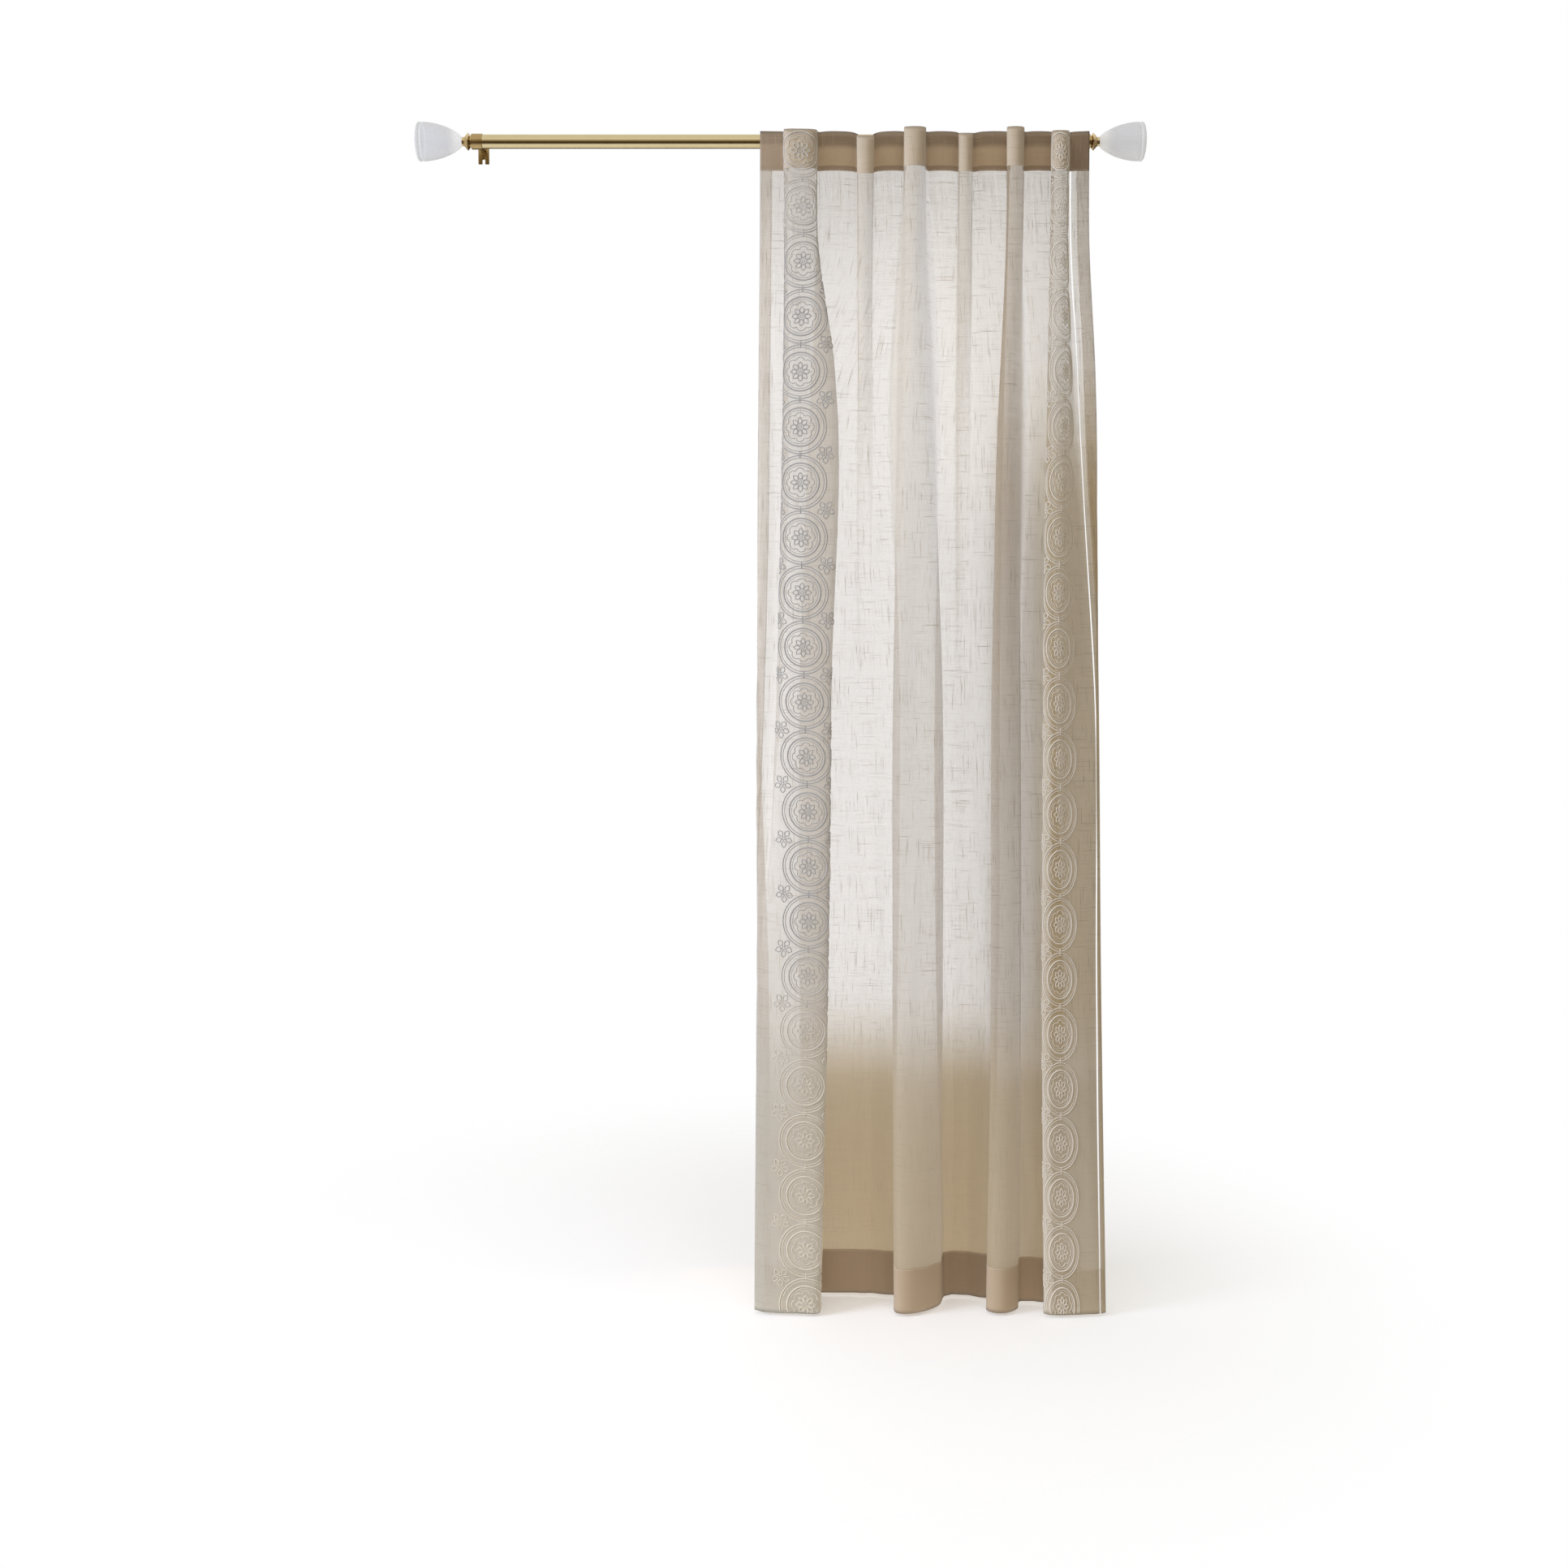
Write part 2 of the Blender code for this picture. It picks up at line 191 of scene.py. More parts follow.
# Each bracket is a cast brass ring on a short arm, with a flat back plate that is screwed on through
# a round hole and an open slot. Its edges are tumbled soft before it is plated.
RING_LENGTH = 20 * MM
RING_RADIUS = 14.1 * MM
RING_BORE = pole_radius + 0.3 * MM
RING_EDGE = 0.7 * MM
ARM_RADIUS = 4.5 * MM
ARM_FLARE = 1.6 * MM
ARM_SUNK = 0.5 * MM
BAR_SIDES = 32
PLATE_WIDTH = 20 * MM
PLATE_THICK = 3 * MM
PLATE_EDGE = 0.6 * MM
SLOT_WIDTH = 5 * MM
SLOT_HEIGHT = 9 * MM
SCREW_HOLE = 2.4 * MM
SCREW_HOLE_HEIGHT = 17 * MM

# Cast brass, plated and lacquered: a little duller and browner than the tube, with the slight
# unevenness of a tumbled casting. The casting's grain is 0.3 mm and is drawn at 1.2 mm.
brass_cast, tree = new_material("lacquered_cast_brass")
place = add(tree, "ShaderNodeTexCoord").outputs["Object"]
grain = add(tree, "ShaderNodeTexNoise", {"Vector": place, "Scale": 1 / (1.2 * MM), "Detail": 2.0})
wear = add(tree, "ShaderNodeTexNoise", {"Vector": place, "Scale": 60.0, "Detail": 3.0})
tone = add(tree, "ShaderNodeMix", {
    "Factor": wear, "A": linear("A58A58"), "B": linear("C4A876"),
}, data_type="RGBA")
gloss = add(tree, "ShaderNodeMapRange", {"Value": wear, "To Min": 0.22, "To Max": 0.42})
relief = add(tree, "ShaderNodeBump", {"Height": grain, "Strength": 0.05, "Distance": 0.1 * MM})
brass = add(tree, "ShaderNodeBsdfPrincipled", {
    "Base Color": tone, "Metallic": 1.0, "Roughness": gloss, "Normal": relief,
    "Coat Weight": 0.2, "Coat Roughness": 0.2,
})
add(tree, "ShaderNodeOutputMaterial", {"Surface": brass})


def temporary(bm, bevel=None):
    """A helper object for cutting and joining, with its edges broken where asked."""
    mesh = bpy.data.meshes.new("helper")
    bmesh.ops.recalc_face_normals(bm, faces=bm.faces)
    bm.to_mesh(mesh)
    bm.free()
    thing = bpy.data.objects.new("helper", mesh)
    scene.collection.objects.link(thing)
    if bevel:
        step = thing.modifiers.new("Broken edge", "BEVEL")
        step.width = bevel
        step.segments = 2
        step.limit_method = "ANGLE"
    return thing


def combined(base, others, operation):
    """Joins helpers to a base helper or cuts them from it, and returns the result as a bmesh, with
    the helpers removed.
    """
    for other in others:
        step = base.modifiers.new(operation, "BOOLEAN")
        step.operation = operation
        step.object = other
        step.solver = "EXACT"
    graph = bpy.context.evaluated_depsgraph_get()
    bm = bmesh.new()
    bm.from_object(base, graph)
    for thing in (base, *others):
        bpy.data.objects.remove(thing, do_unlink=True)
    return bm


def round_bar(centre, radius_steps, sides):
    """A bar along Y through a place, from (y, radius) steps."""
    bm = bmesh.new()
    loops = []
    for y, radius in radius_steps:
        angles = [2 * math.pi * k / sides for k in range(sides)]
        loops.append([
            bm.verts.new((centre.x + radius * math.cos(a), y, centre.z + radius * math.sin(a)))
            for a in angles
        ])
    for here, there in zip(loops, loops[1:]):
        for k in range(sides):
            bm.faces.new((here[k], here[k - 1], there[k - 1], there[k]))
    bm.faces.new(loops[0])
    bm.faces.new(loops[-1])
    return bm


def plate_outline(middle, low, high):
    """The back plate's outline, clockwise from its upper left corner, with a round-topped slot."""
    half = PLATE_WIDTH / 2
    arc = [
        (SLOT_WIDTH / 2 * math.cos(a), low + SLOT_HEIGHT - SLOT_WIDTH / 2 * (1 - math.sin(a)))
        for a in (math.pi * k / 8 for k in range(9))
    ]
    outline = [(-half, high), (half, high), (half, low), (SLOT_WIDTH / 2, low)]
    outline += arc + [(-SLOT_WIDTH / 2, low), (-half, low)]
    return [(middle + x, z) for x, z in outline]


for side in ("left", "right"):
    low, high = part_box(f"bracket_{side}")
    middle = Vector(((low.x + high.x) / 2, 0, pole_middle.z))
    start, end = middle.x - RING_LENGTH / 2, middle.x + RING_LENGTH / 2
    ring = temporary(turned((
        (start, RING_BORE), (start, RING_RADIUS - RING_EDGE), (start + RING_EDGE, RING_RADIUS),
        (end - RING_EDGE, RING_RADIUS), (end, RING_RADIUS - RING_EDGE), (end, RING_BORE),
    ), POLE_SIDES, closed=True))
    ring_back = pole_middle.y + RING_RADIUS
    arm = temporary(round_bar(middle, (
        (ring_back - ARM_SUNK, ARM_RADIUS), (high.y - PLATE_THICK - ARM_FLARE, ARM_RADIUS),
        (high.y - PLATE_THICK / 2, ARM_RADIUS + ARM_FLARE),
    ), BAR_SIDES))
    bm = bmesh.new()
    face = bm.faces.new([
        bm.verts.new((x, high.y, z)) for x, z in plate_outline(middle.x, low.z, high.z)
    ])
    drawn = bmesh.ops.extrude_face_region(bm, geom=[face])["geom"]
    bmesh.ops.translate(
        bm, vec=(0, -PLATE_THICK, 0), verts=[v for v in drawn if isinstance(v, bmesh.types.BMVert)],
    )
    plate = temporary(bm, PLATE_EDGE)
    hole_middle = middle + Vector((0, 0, SCREW_HOLE_HEIGHT))
    hole = temporary(round_bar(hole_middle, (
        (high.y - 2 * PLATE_THICK, SCREW_HOLE), (high.y + PLATE_THICK, SCREW_HOLE),
    ), BAR_SIDES))
    drilled = temporary(combined(plate, [hole], "DIFFERENCE"))
    whole = combined(ring, [arm, drilled], "UNION")
    place_piece(f"cast_bracket_{side}", whole, brass_cast, [f"bracket_{side}"])


# Each finial has a neck of turned brass, cut with eight flat faces. It screws into the end of the
# pole and holds the clear bell.
NECK_FACETS = 8
NECK_STEPS = ((0.0, 10.8), (1.5, 10.8), (6.0, 16.6), (13.0, 8.6), (17.0, 8.6))
NECK_EDGE = 0.35 * MM

# Polished brass, lacquered: each flat face gives one clean tone, and the cut edges catch the light.
# Fine polishing scratches, 0.1 mm apart, are drawn at 0.8 mm.
brass_polished, tree = new_material("lacquered_polished_brass")
place = add(tree, "ShaderNodeTexCoord").outputs["Object"]
scratches = add(tree, "ShaderNodeTexNoise", {
    "Vector": place, "Scale": 1 / (0.8 * MM), "Detail": 2.0,
})
wear = add(tree, "ShaderNodeTexNoise", {"Vector": place, "Scale": 80.0})
tone = add(tree, "ShaderNodeMix", {
    "Factor": wear, "A": linear("C7AD7A"), "B": linear("E2CDA0"),
}, data_type="RGBA")
gloss = add(tree, "ShaderNodeMapRange", {"Value": scratches, "To Min": 0.20, "To Max": 0.28})
brass = add(tree, "ShaderNodeBsdfPrincipled", {
    "Base Color": tone, "Metallic": 1.0, "Roughness": gloss,
    "Coat Weight": 0.3, "Coat Roughness": 0.08,
})
add(tree, "ShaderNodeOutputMaterial", {"Surface": brass})

FACINGS = {"left": -1, "right": 1}
for side, facing in FACINGS.items():
    low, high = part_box(f"finial_neck_{side}")
    start = high.x if facing < 0 else low.x
    steps = [(start + facing * x * MM, radius * MM) for x, radius in NECK_STEPS]
    neck = temporary(turned([(steps[0][0], 0), *steps, (steps[-1][0], 0)], NECK_FACETS), NECK_EDGE)
    place_piece(
        f"faceted_neck_{side}", combined(neck, [], "UNION"), brass_polished,
        [f"finial_neck_{side}"], sharp_over=12,
    )


# Each bell is cast in one piece of clear acrylic, solid through, with a soft edge round its mouth
# and shallow flutes left by the mould. Its neck is glued into the brass.
BELL_SIDES = 192
BELL_BODY = 77 * MM
BELL_LENGTH = 84 * MM
BELL_NECK_RADIUS = 8 * MM
BELL_MOUTH_RADIUS = 35 * MM
BELL_SWELL = 0.75
BELL_STEPS = 60
GROOVE_PLACE = 72 * MM
GROOVE_WIDTH = 1.4 * MM
GROOVE_DEPTH = 1.3 * MM
BELL_DOME = 4.5 * MM
BELL_EDGE = 2.5 * MM
DOME_STEPS = 8
FLUTES = 24
FLUTE_DEPTH = 0.22 * MM
PAINTED_GLOW_FROM = 26 * MM
PAINTED_GLOW_FULL = 8 * MM

# Clear cast acrylic, index 1.49, polished: a pale soft grey against the light, duller in the flutes,
# with a painted white glow near the neck and a painted highlight along the line moulded round its
# mouth.
acrylic, tree = new_material("clear_cast_acrylic")
bell_start = abs(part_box("finial_left")[1].x - pole_middle.x)
place = add(tree, "ShaderNodeTexCoord").outputs["Object"]
off_pole = add(tree, "ShaderNodeVectorMath", {0: place, 1: pole_middle}, operation="SUBTRACT")
outwards = add(tree, "ShaderNodeSeparateXYZ", {"Vector": off_pole})
turn_round = add(tree, "ShaderNodeMath", {
    0: outwards.outputs["Z"], 1: outwards.outputs["Y"],
}, operation="ARCTAN2")
flute_turn = add(tree, "ShaderNodeMath", {0: turn_round, 1: FLUTES}, operation="MULTIPLY")
flute_wave = add(tree, "ShaderNodeMath", {0: flute_turn}, operation="COSINE")
gloss = add(tree, "ShaderNodeMapRange", {
    "Value": flute_wave, "From Min": -1.0, "To Min": 0.10, "To Max": 0.16,
})
along_bell = add(tree, "ShaderNodeMath", {0: outwards.outputs["X"]}, operation="ABSOLUTE")
# Painted highlight along the groove moulded round the mouth
painted_rim_highlight = add(tree, "ShaderNodeMath", {
    0: along_bell, 1: bell_start + GROOVE_PLACE, 2: GROOVE_WIDTH,
}, operation="COMPARE")
# Painted white glow towards the neck
painted_neck_glow = add(tree, "ShaderNodeMapRange", {
    "Value": along_bell, "From Min": bell_start + PAINTED_GLOW_FROM, "From Max": bell_start + PAINTED_GLOW_FULL,
}, interpolation_type="SMOOTHSTEP")
# The grey, with the painted rim highlight and the painted neck glow laid over it
bell_tone = linear("C6C7CC")
for part, tone in ((painted_rim_highlight, "F4F5F8"), (painted_neck_glow, "FFFFFF")):
    bell_tone = add(tree, "ShaderNodeMix", {
        "Factor": part, "A": bell_tone, "B": linear(tone),
    }, data_type="RGBA")
clear = add(tree, "ShaderNodeBsdfPrincipled", {
    "Base Color": bell_tone, "Roughness": gloss, "IOR": 1.49, "Alpha": 0.38,
})
add(tree, "ShaderNodeOutputMaterial", {"Surface": clear})

for side, facing in FACINGS.items():
    low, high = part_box(f"finial_{side}")
    start = high.x if facing < 0 else low.x
    profile = [(start, 0)]
    for k in range(BELL_STEPS + 1):
        share = k / BELL_STEPS
        swell = math.sin(math.pi / 2 * share**BELL_SWELL)
        radius = BELL_NECK_RADIUS + (BELL_MOUTH_RADIUS - BELL_NECK_RADIUS) * swell
        radius -= GROOVE_DEPTH * math.exp(-((BELL_BODY * share - GROOVE_PLACE) / GROOVE_WIDTH) ** 2)
        profile.append((start + facing * BELL_BODY * share, radius))
    face = BELL_LENGTH - BELL_DOME
    for k in range(DOME_STEPS + 1):
        share = 1 - k / DOME_STEPS
        along = face + BELL_DOME * (1 - share**2)
        profile.append((start + facing * along, (BELL_MOUTH_RADIUS - BELL_EDGE) * share))
    bm = turned(profile, BELL_SIDES)
    for vert in bm.verts:
        spoke = vert.co - pole_middle
        angle = math.atan2(spoke.z, spoke.y)
        reach = math.hypot(spoke.y, spoke.z)
        inward = FLUTE_DEPTH * (0.5 + 0.5 * math.cos(FLUTES * angle)) * reach / BELL_MOUTH_RADIUS
        if reach > 0:
            scale = 1 - inward / reach
            vert.co.y = pole_middle.y + spoke.y * scale
            vert.co.z = pole_middle.z + spoke.z * scale
    place_piece(f"acrylic_bell_{side}", bm, acrylic, [f"finial_{side}"])


# The panel is one length of slub voile. Its side hems are turned 22 mm, its heading 70 mm and its
# bottom hem 82 mm, each to the back, and it hangs in six forward folds with flats between them.
PANEL_WIDTH = 1270.0
PANEL_LENGTH = 2134.0
PANEL_TOP = 15.0
HEADING = 70.0
HEM = 82.0
SIDE_HEM = 22.0
SEAM_TURN = 9.0
FLAT_Y = -91.8
SAG_REACH = 700.0
SAG_SHARES = (0.2, 0.9, 1.0, 0.9, 0.2)
EASED_FROM = 0.2 * PANEL_WIDTH
EASED_TO = 0.8 * PANEL_WIDTH
BEND_HANDLE = 0.36
BEND_STEPS = 12
COLUMNS = 360
ROWS = 226
LAYER_GAP = 1.2
FRONT_LAYER = 0.6
SIDE_TURN_STEPS = 6
HEADING_TURN_STEPS = 9
HEM_TURN_STEPS = 10
TURN_RADIUS = 1.5

# Side edges: drop from the top, then (x, depth in front of the flats) of the cut edge and of the
# turn where the side hem rolls behind the front, first for the left side and then for the right
SIDES = (
    (0, (513, 0), (521, 0), (1099, 0), (1107, 0)),
    (190, (512, 1), (519, 0), (1100, 0), (1108, 1)),
    (420, (510, 5), (516, 5), (1114, 5), (1120, 5)),
    (1010, (510, 5), (507, 11), (1122, 57), (1121, 36)),
    (1530, (528, 18), (507, 30), (1128, 74), (1127, 53)),
    (2134, (530, 64), (503, 80), (1139, 94), (1138, 73)),
)

# Forward folds from left to right: the top's sag at the fold, then a row for each drop with
# (x, depth) of the left foot, left crest, middle, right crest and right foot
FOLDS = (
    (8, (
        (0, (563, 0), (557, 48), (583, 54), (610, 46), (621, 0)),
        (190, (560, 0), (559, 46), (586, 54), (612, 46), (618, 0)),
        (420, (564, 0), (557, 40), (594, 53), (646, 48), (606, 0)),
        (1010, (550, 4), (544, 26), (596, 46), (641, 47), (584, 1)),
        (1530, (514, 38), (528, 52), (591, 72), (635, 68), (584, 2)),
        (2134, (509, 86), (524, 94), (577, 99), (621, 94), (597, 2)),
    )),
    (20, (
        (0, (686, 0), (687, 48), (701, 56), (715, 48), (720, 0)),
        (190, (687, 0), (689, 44), (702, 51), (713, 44), (717, 0)),
        (420, (688, 0), (691, 31), (702, 36), (712, 30), (716, 0)),
        (700, (687, 0), (693, 9), (702, 11), (711, 8), (717, 0)),
        (1010, (687, 2), (694, 3), (702, 4), (710, 4), (717, 3)),
    )),
    (7, (
        (0, (777, 0), (770, 60), (787, 69), (805, 60), (815, 0)),
        (190, (764, 0), (771, 66), (786, 75), (801, 64), (825, 0)),
        (420, (749, 0), (769, 70), (788, 79), (809, 68), (839, 0)),
        (1010, (768, 6), (754, 76), (796, 84), (838, 74), (830, 8)),
        (1530, (766, 14), (755, 82), (797, 91), (840, 78), (835, 16)),
        (2134, (765, 18), (758, 93), (788, 100), (836, 66), (852, 20)),
    )),
    (15, (
        (0, (871, 0), (868, 46), (879, 53), (890, 46), (901, 0)),
        (190, (869, 0), (869, 45), (880, 51), (890, 45), (898, 0)),
        (420, (868, 0), (871, 31), (881, 36), (890, 31), (897, 2)),
        (700, (868, 2), (874, 13), (882, 15), (890, 13), (897, 4)),
        (1010, (868, 10), (875, 11), (882, 12), (889, 13), (896, 13)),
    )),
    (7, (
        (0, (962, 0), (952, 60), (966, 69), (980, 60), (992, 0)),
        (190, (958, 0), (952, 66), (965, 75), (978, 65), (991, 0)),
        (420, (955, 0), (942, 73), (955, 82), (969, 70), (1001, 2)),
        (1010, (950, 12), (929, 74), (952, 84), (978, 72), (986, 18)),
        (1530, (950, 25), (930, 78), (955, 88), (983, 76), (990, 32)),
        (2134, (936, 34), (925, 84), (949, 99), (979, 80), (992, 42)),
    )),
    (11, (
        (0, (1043, 0), (1034, 48), (1048, 56), (1062, 48), (1071, 0)),
        (190, (1041, 0), (1032, 52), (1047, 61), (1060, 51), (1071, 0)),
        (420, (1040, 2), (1027, 66), (1043, 75), (1063, 60), (1088, 4)),
        (1010, (1050, 22), (1021, 76), (1040, 90), (1076, 78), (1111, 68)),
        (1530, (1066, 38), (1020, 90), (1034, 99), (1095, 91), (1120, 82)),
        (2134, (1070, 52), (1027, 96), (1040, 107), (1112, 103), (1132, 99)),
    )),
)

# Soft creases pressed into the flat cut: across and down to the middle, half length along
# the crease, half width, height (a trough where negative) and lean from upright in degrees
CREASES = (
    (30, 300, 210, 9, 1.6, 3),
    (215, 330, 190, 10, -2.0, -4),
    (262, 620, 260, 14, 1.8, 2),
    (300, 900, 300, 12, -1.6, -2),
    (322, 420, 160, 8, 2.2, 6),
    (395, 1250, 320, 16, -2.2, 3),
    (430, 500, 200, 11, 2.0, -3),
    (455, 1750, 260, 14, 2.2, -3),
    (520, 700, 300, 10, -1.8, 1),
    (560, 1400, 260, 12, 2.4, -2),
    (610, 1850, 220, 15, -3.0, 4),
    (648, 1980, 130, 12, 3.0, -8),
    (700, 900, 340, 13, 1.6, -1),
    (745, 380, 150, 8, -2.0, 5),
    (790, 1300, 300, 16, 2.2, 2),
    (840, 1900, 200, 13, -2.6, -5),
    (905, 620, 220, 10, 1.8, 3),
    (950, 1520, 260, 12, -2.2, -2),
    (985, 1880, 170, 11, 3.2, 7),
    (1010, 1960, 120, 9, -2.6, -12),
    (1060, 980, 260, 12, 1.8, 2),
    (1180, 1250, 300, 14, -1.8, 1),
    (1215, 700, 260, 9, 1.6, -2),
    (1230, 1750, 240, 10, -1.6, 2),
)


def eased_row(rows, drop):
    """The (x, depth) pairs of a table at one drop, eased between its rows."""
    drops = np.array([row[0] for row in rows], float)
    values = np.array([row[1:] for row in rows], float)
    slopes = np.gradient(values, drops, axis=0)
    drop = min(max(drop, drops[0]), drops[-1])
    below = max(1, int(np.searchsorted(drops, drop)))
    span = drops[below] - drops[below - 1]
    t = (drop - drops[below - 1]) / span
    upper = values[below - 1] * (2 * t**3 - 3 * t**2 + 1)
    upper += slopes[below - 1] * span * (t**3 - 2 * t**2 + t)
    lower = values[below] * (3 * t**2 - 2 * t**3)
    lower += slopes[below] * span * (t**3 - t**2)
    return upper + lower


def plan_places(drop):
    """Control points (x, depth, sag) across the panel at one drop."""
    sides = eased_row(SIDES, drop)
    places = [Vector((*sides[0], 0)), Vector((*sides[1], 0))]
    for number, (sag, rows) in enumerate(FOLDS):
        row = eased_row(rows, drop)
        fold = [Vector((*place, sag * share)) for place, share in zip(row, SAG_SHARES)]
        if number:
            flat = (places[-1] + fold[0]) / 2
            places.append(Vector((flat.x, flat.y, 0)))
        places += fold
    return places + [Vector((*sides[2], 0)), Vector((*sides[3], 0))]


def plan_curve(drop):
    """The panel's plan at one drop as an array of (x, depth, sag), rounded where the cloth turns."""
    places = plan_places(drop)
    last = len(places) - 1
    curve = []
    for i in range(last):
        start, end = places[i], places[i + 1]
        reach = (end - start).length * BEND_HANDLE
        leaving = (end - places[max(i - 1, 0)]).normalized() * reach
        arriving = (places[min(i + 2, last)] - start).normalized() * reach
        bend = interpolate_bezier(start, start + leaving, end - arriving, end, BEND_STEPS + 1)
        rearmost = min(start.y, end.y)
        curve += [(p.x, max(p.y, rearmost), p.z) for p in bend[:-1]]
    return np.array(curve + [tuple(places[-1])])


def smooth_step(value, start, end):
    t = np.clip((value - start) / (end - start), 0, 1)
    return t * t * (3 - 2 * t)


def hung_row(drop, across):
    """Where the flat cut's points at one drop hang, true to size from each side edge inwards."""
    curve = plan_curve(drop)
    steps = np.hypot(*np.diff(curve[:, :2], axis=0).T)
    walked = np.concatenate([[0], np.cumsum(steps)])
    ease = (PANEL_WIDTH - walked[-1]) * smooth_step(walked, EASED_FROM, EASED_TO)
    x, depth, sag = (np.interp(across, walked + ease, column) for column in curve.T)
    height = PANEL_TOP - drop - sag * max(0.0, 1 - drop / SAG_REACH) ** 2
    return np.stack([x, FLAT_Y - depth, height], axis=-1)


def crease_height(across, down):
    total = np.zeros_like(across)
    for middle_across, middle_down, length, width, height, lean in CREASES:
        a, d = across - middle_across, down - middle_down
        turn = math.radians(lean)
        along = d * math.cos(turn) + a * math.sin(turn)
        aside = a * math.cos(turn) - d * math.sin(turn)
        total += height * np.exp(-(along / length) ** 2 - (aside / width) ** 2)
    return total


def facing_out(grid):
    """Unit normals of a grid of points, towards the front of the cloth."""
    across = np.gradient(grid, axis=1)
    down = np.gradient(grid, axis=0)
    normals = np.cross(down, across)
    return normals / np.linalg.norm(normals, axis=-1, keepdims=True)


cut_across = np.linspace(0, PANEL_WIDTH, COLUMNS)
cut_down = np.linspace(0, PANEL_LENGTH, ROWS)
hung = np.array([hung_row(drop, cut_across) for drop in cut_down])
grid_across, grid_down = np.meshgrid(cut_across, cut_down)
hung += facing_out(hung) * (FRONT_LAYER + crease_height(grid_across, grid_down))[..., None]
hung_normals = facing_out(hung)


def on_cloth(across, down, lift=0.0):
    """Places in metres at a lift in front of the hung cloth, from places on the flat cut."""
    column = np.clip(np.asarray(across) / PANEL_WIDTH, 0, 1) * (COLUMNS - 1)
    row = np.clip(np.asarray(down) / PANEL_LENGTH, 0, 1) * (ROWS - 1)
    i = np.minimum(row.astype(int), ROWS - 2)
    j = np.minimum(column.astype(int), COLUMNS - 2)
    s, t = (row - i)[..., None], (column - j)[..., None]

    def blended(field):
        upper = field[i, j] * (1 - t) + field[i, j + 1] * t
        lower = field[i + 1, j] * (1 - t) + field[i + 1, j + 1] * t
        return upper * (1 - s) + lower * s

    return (blended(hung) + blended(hung_normals) * np.asarray(lift)[..., None]) * MM


def with_turns(cut, length, start_turn, end_turn, start_steps, end_steps):
    """A row of places on the cut, run on past both ends by what is turned to the back."""
    before = -np.linspace(start_turn, 0, start_steps, endpoint=False)
    after = length + np.linspace(end_turn, 0, end_steps, endpoint=False)[::-1]
    return np.concatenate([before, cut, after])


def folded_back(places, length):
    """Where places on the cut lie once its ends are turned back, and how far they are past a turn."""
    past = np.maximum(0, np.maximum(-places, places - length))
    return np.clip(places, 0, length) + np.where(places < 0, past, -past), past


run_across = with_turns(
    cut_across, PANEL_WIDTH, SIDE_HEM, SIDE_HEM, SIDE_TURN_STEPS, SIDE_TURN_STEPS,
)
run_down = with_turns(
    cut_down, PANEL_LENGTH, HEADING, HEM, HEADING_TURN_STEPS, HEM_TURN_STEPS,
)
flat_across, flat_down = np.meshgrid(run_across, run_down)
lies_across, turned_aside = folded_back(flat_across, PANEL_WIDTH)
lies_down, turned_over = folded_back(flat_down, PANEL_LENGTH)
behind = sum(1 - np.exp(-past / TURN_RADIUS) for past in (turned_aside, turned_over))
panel_points = on_cloth(lies_across, lies_down, -LAYER_GAP * behind)


def grid_mesh(name, points, flat):
    """A sheet's mesh from a grid of points, with its flat cut in metres as the UV map."""
    rows, columns = points.shape[:2]
    number = np.arange(rows * columns).reshape(rows, columns)
    corners = (number[:-1, :-1], number[1:, :-1], number[1:, 1:], number[:-1, 1:])
    faces = np.stack(corners, axis=-1).reshape(-1, 4)
    mesh = bpy.data.meshes.new(name)
    mesh.from_pydata(points.reshape(-1, 3).tolist(), [], faces.tolist())
    layer = mesh.uv_layers.new(name="flat_cut")
    layer.data.foreach_set("uv", flat.reshape(-1, 2)[faces.ravel()].ravel())
    mesh.shade_smooth()
    return mesh


# Plain-woven voile of fine linen-look yarn, washed soft: light comes through between the yarns and
# through them, so one layer glows and two look browner and closer. Its yarns lie 0.4 mm apart and
# its slubs are 0.5 mm thick; both are drawn three times as coarse so that they show.
SLUB_THICK = 1.5 * MM
SLUB_LONG = 70 * MM
YARN_PITCH = 1.3 * MM
YARN_LONG = 260 * MM
voile, tree = new_material("woven_slub_voile")
cut = add(tree, "ShaderNodeUVMap", uv_map="flat_cut")

# The upright yarns and then the level ones, with the heights of noise between which a slub thickens
slub_shares, yarn_heights = [], []
for slub_scale, thin, thick, yarn_scale in (
    ((1 / SLUB_THICK, 1 / SLUB_LONG, 1), 0.60, 0.70, (1 / YARN_PITCH, 1 / YARN_LONG, 1)),
    ((1 / SLUB_LONG, 1 / SLUB_THICK, 1), 0.61, 0.71, (1 / YARN_LONG, 1 / YARN_PITCH, 1)),
):
    slub_run = add(tree, "ShaderNodeMapping", {"Vector": cut, "Scale": slub_scale})
    slub = add(tree, "ShaderNodeTexNoise", {
        "Vector": slub_run, "Scale": 1.0, "Detail": 2.0, "Roughness": 0.6,
    })
    slub_shares.append(add(tree, "ShaderNodeMapRange", {
        "Value": slub, "From Min": thin, "From Max": thick,
    }))
    yarn_run = add(tree, "ShaderNodeMapping", {"Vector": cut, "Scale": yarn_scale})
    yarn_heights.append(add(tree, "ShaderNodeTexNoise", {"Vector": yarn_run, "Scale": 1.0}))
woven_slubs = add(tree, "ShaderNodeMath", dict(enumerate(slub_shares)), operation="MAXIMUM")
yarns = add(tree, "ShaderNodeMath", dict(enumerate(yarn_heights)), operation="ADD")
weave = add(tree, "ShaderNodeMath", {0: woven_slubs, 1: yarns}, operation="ADD")
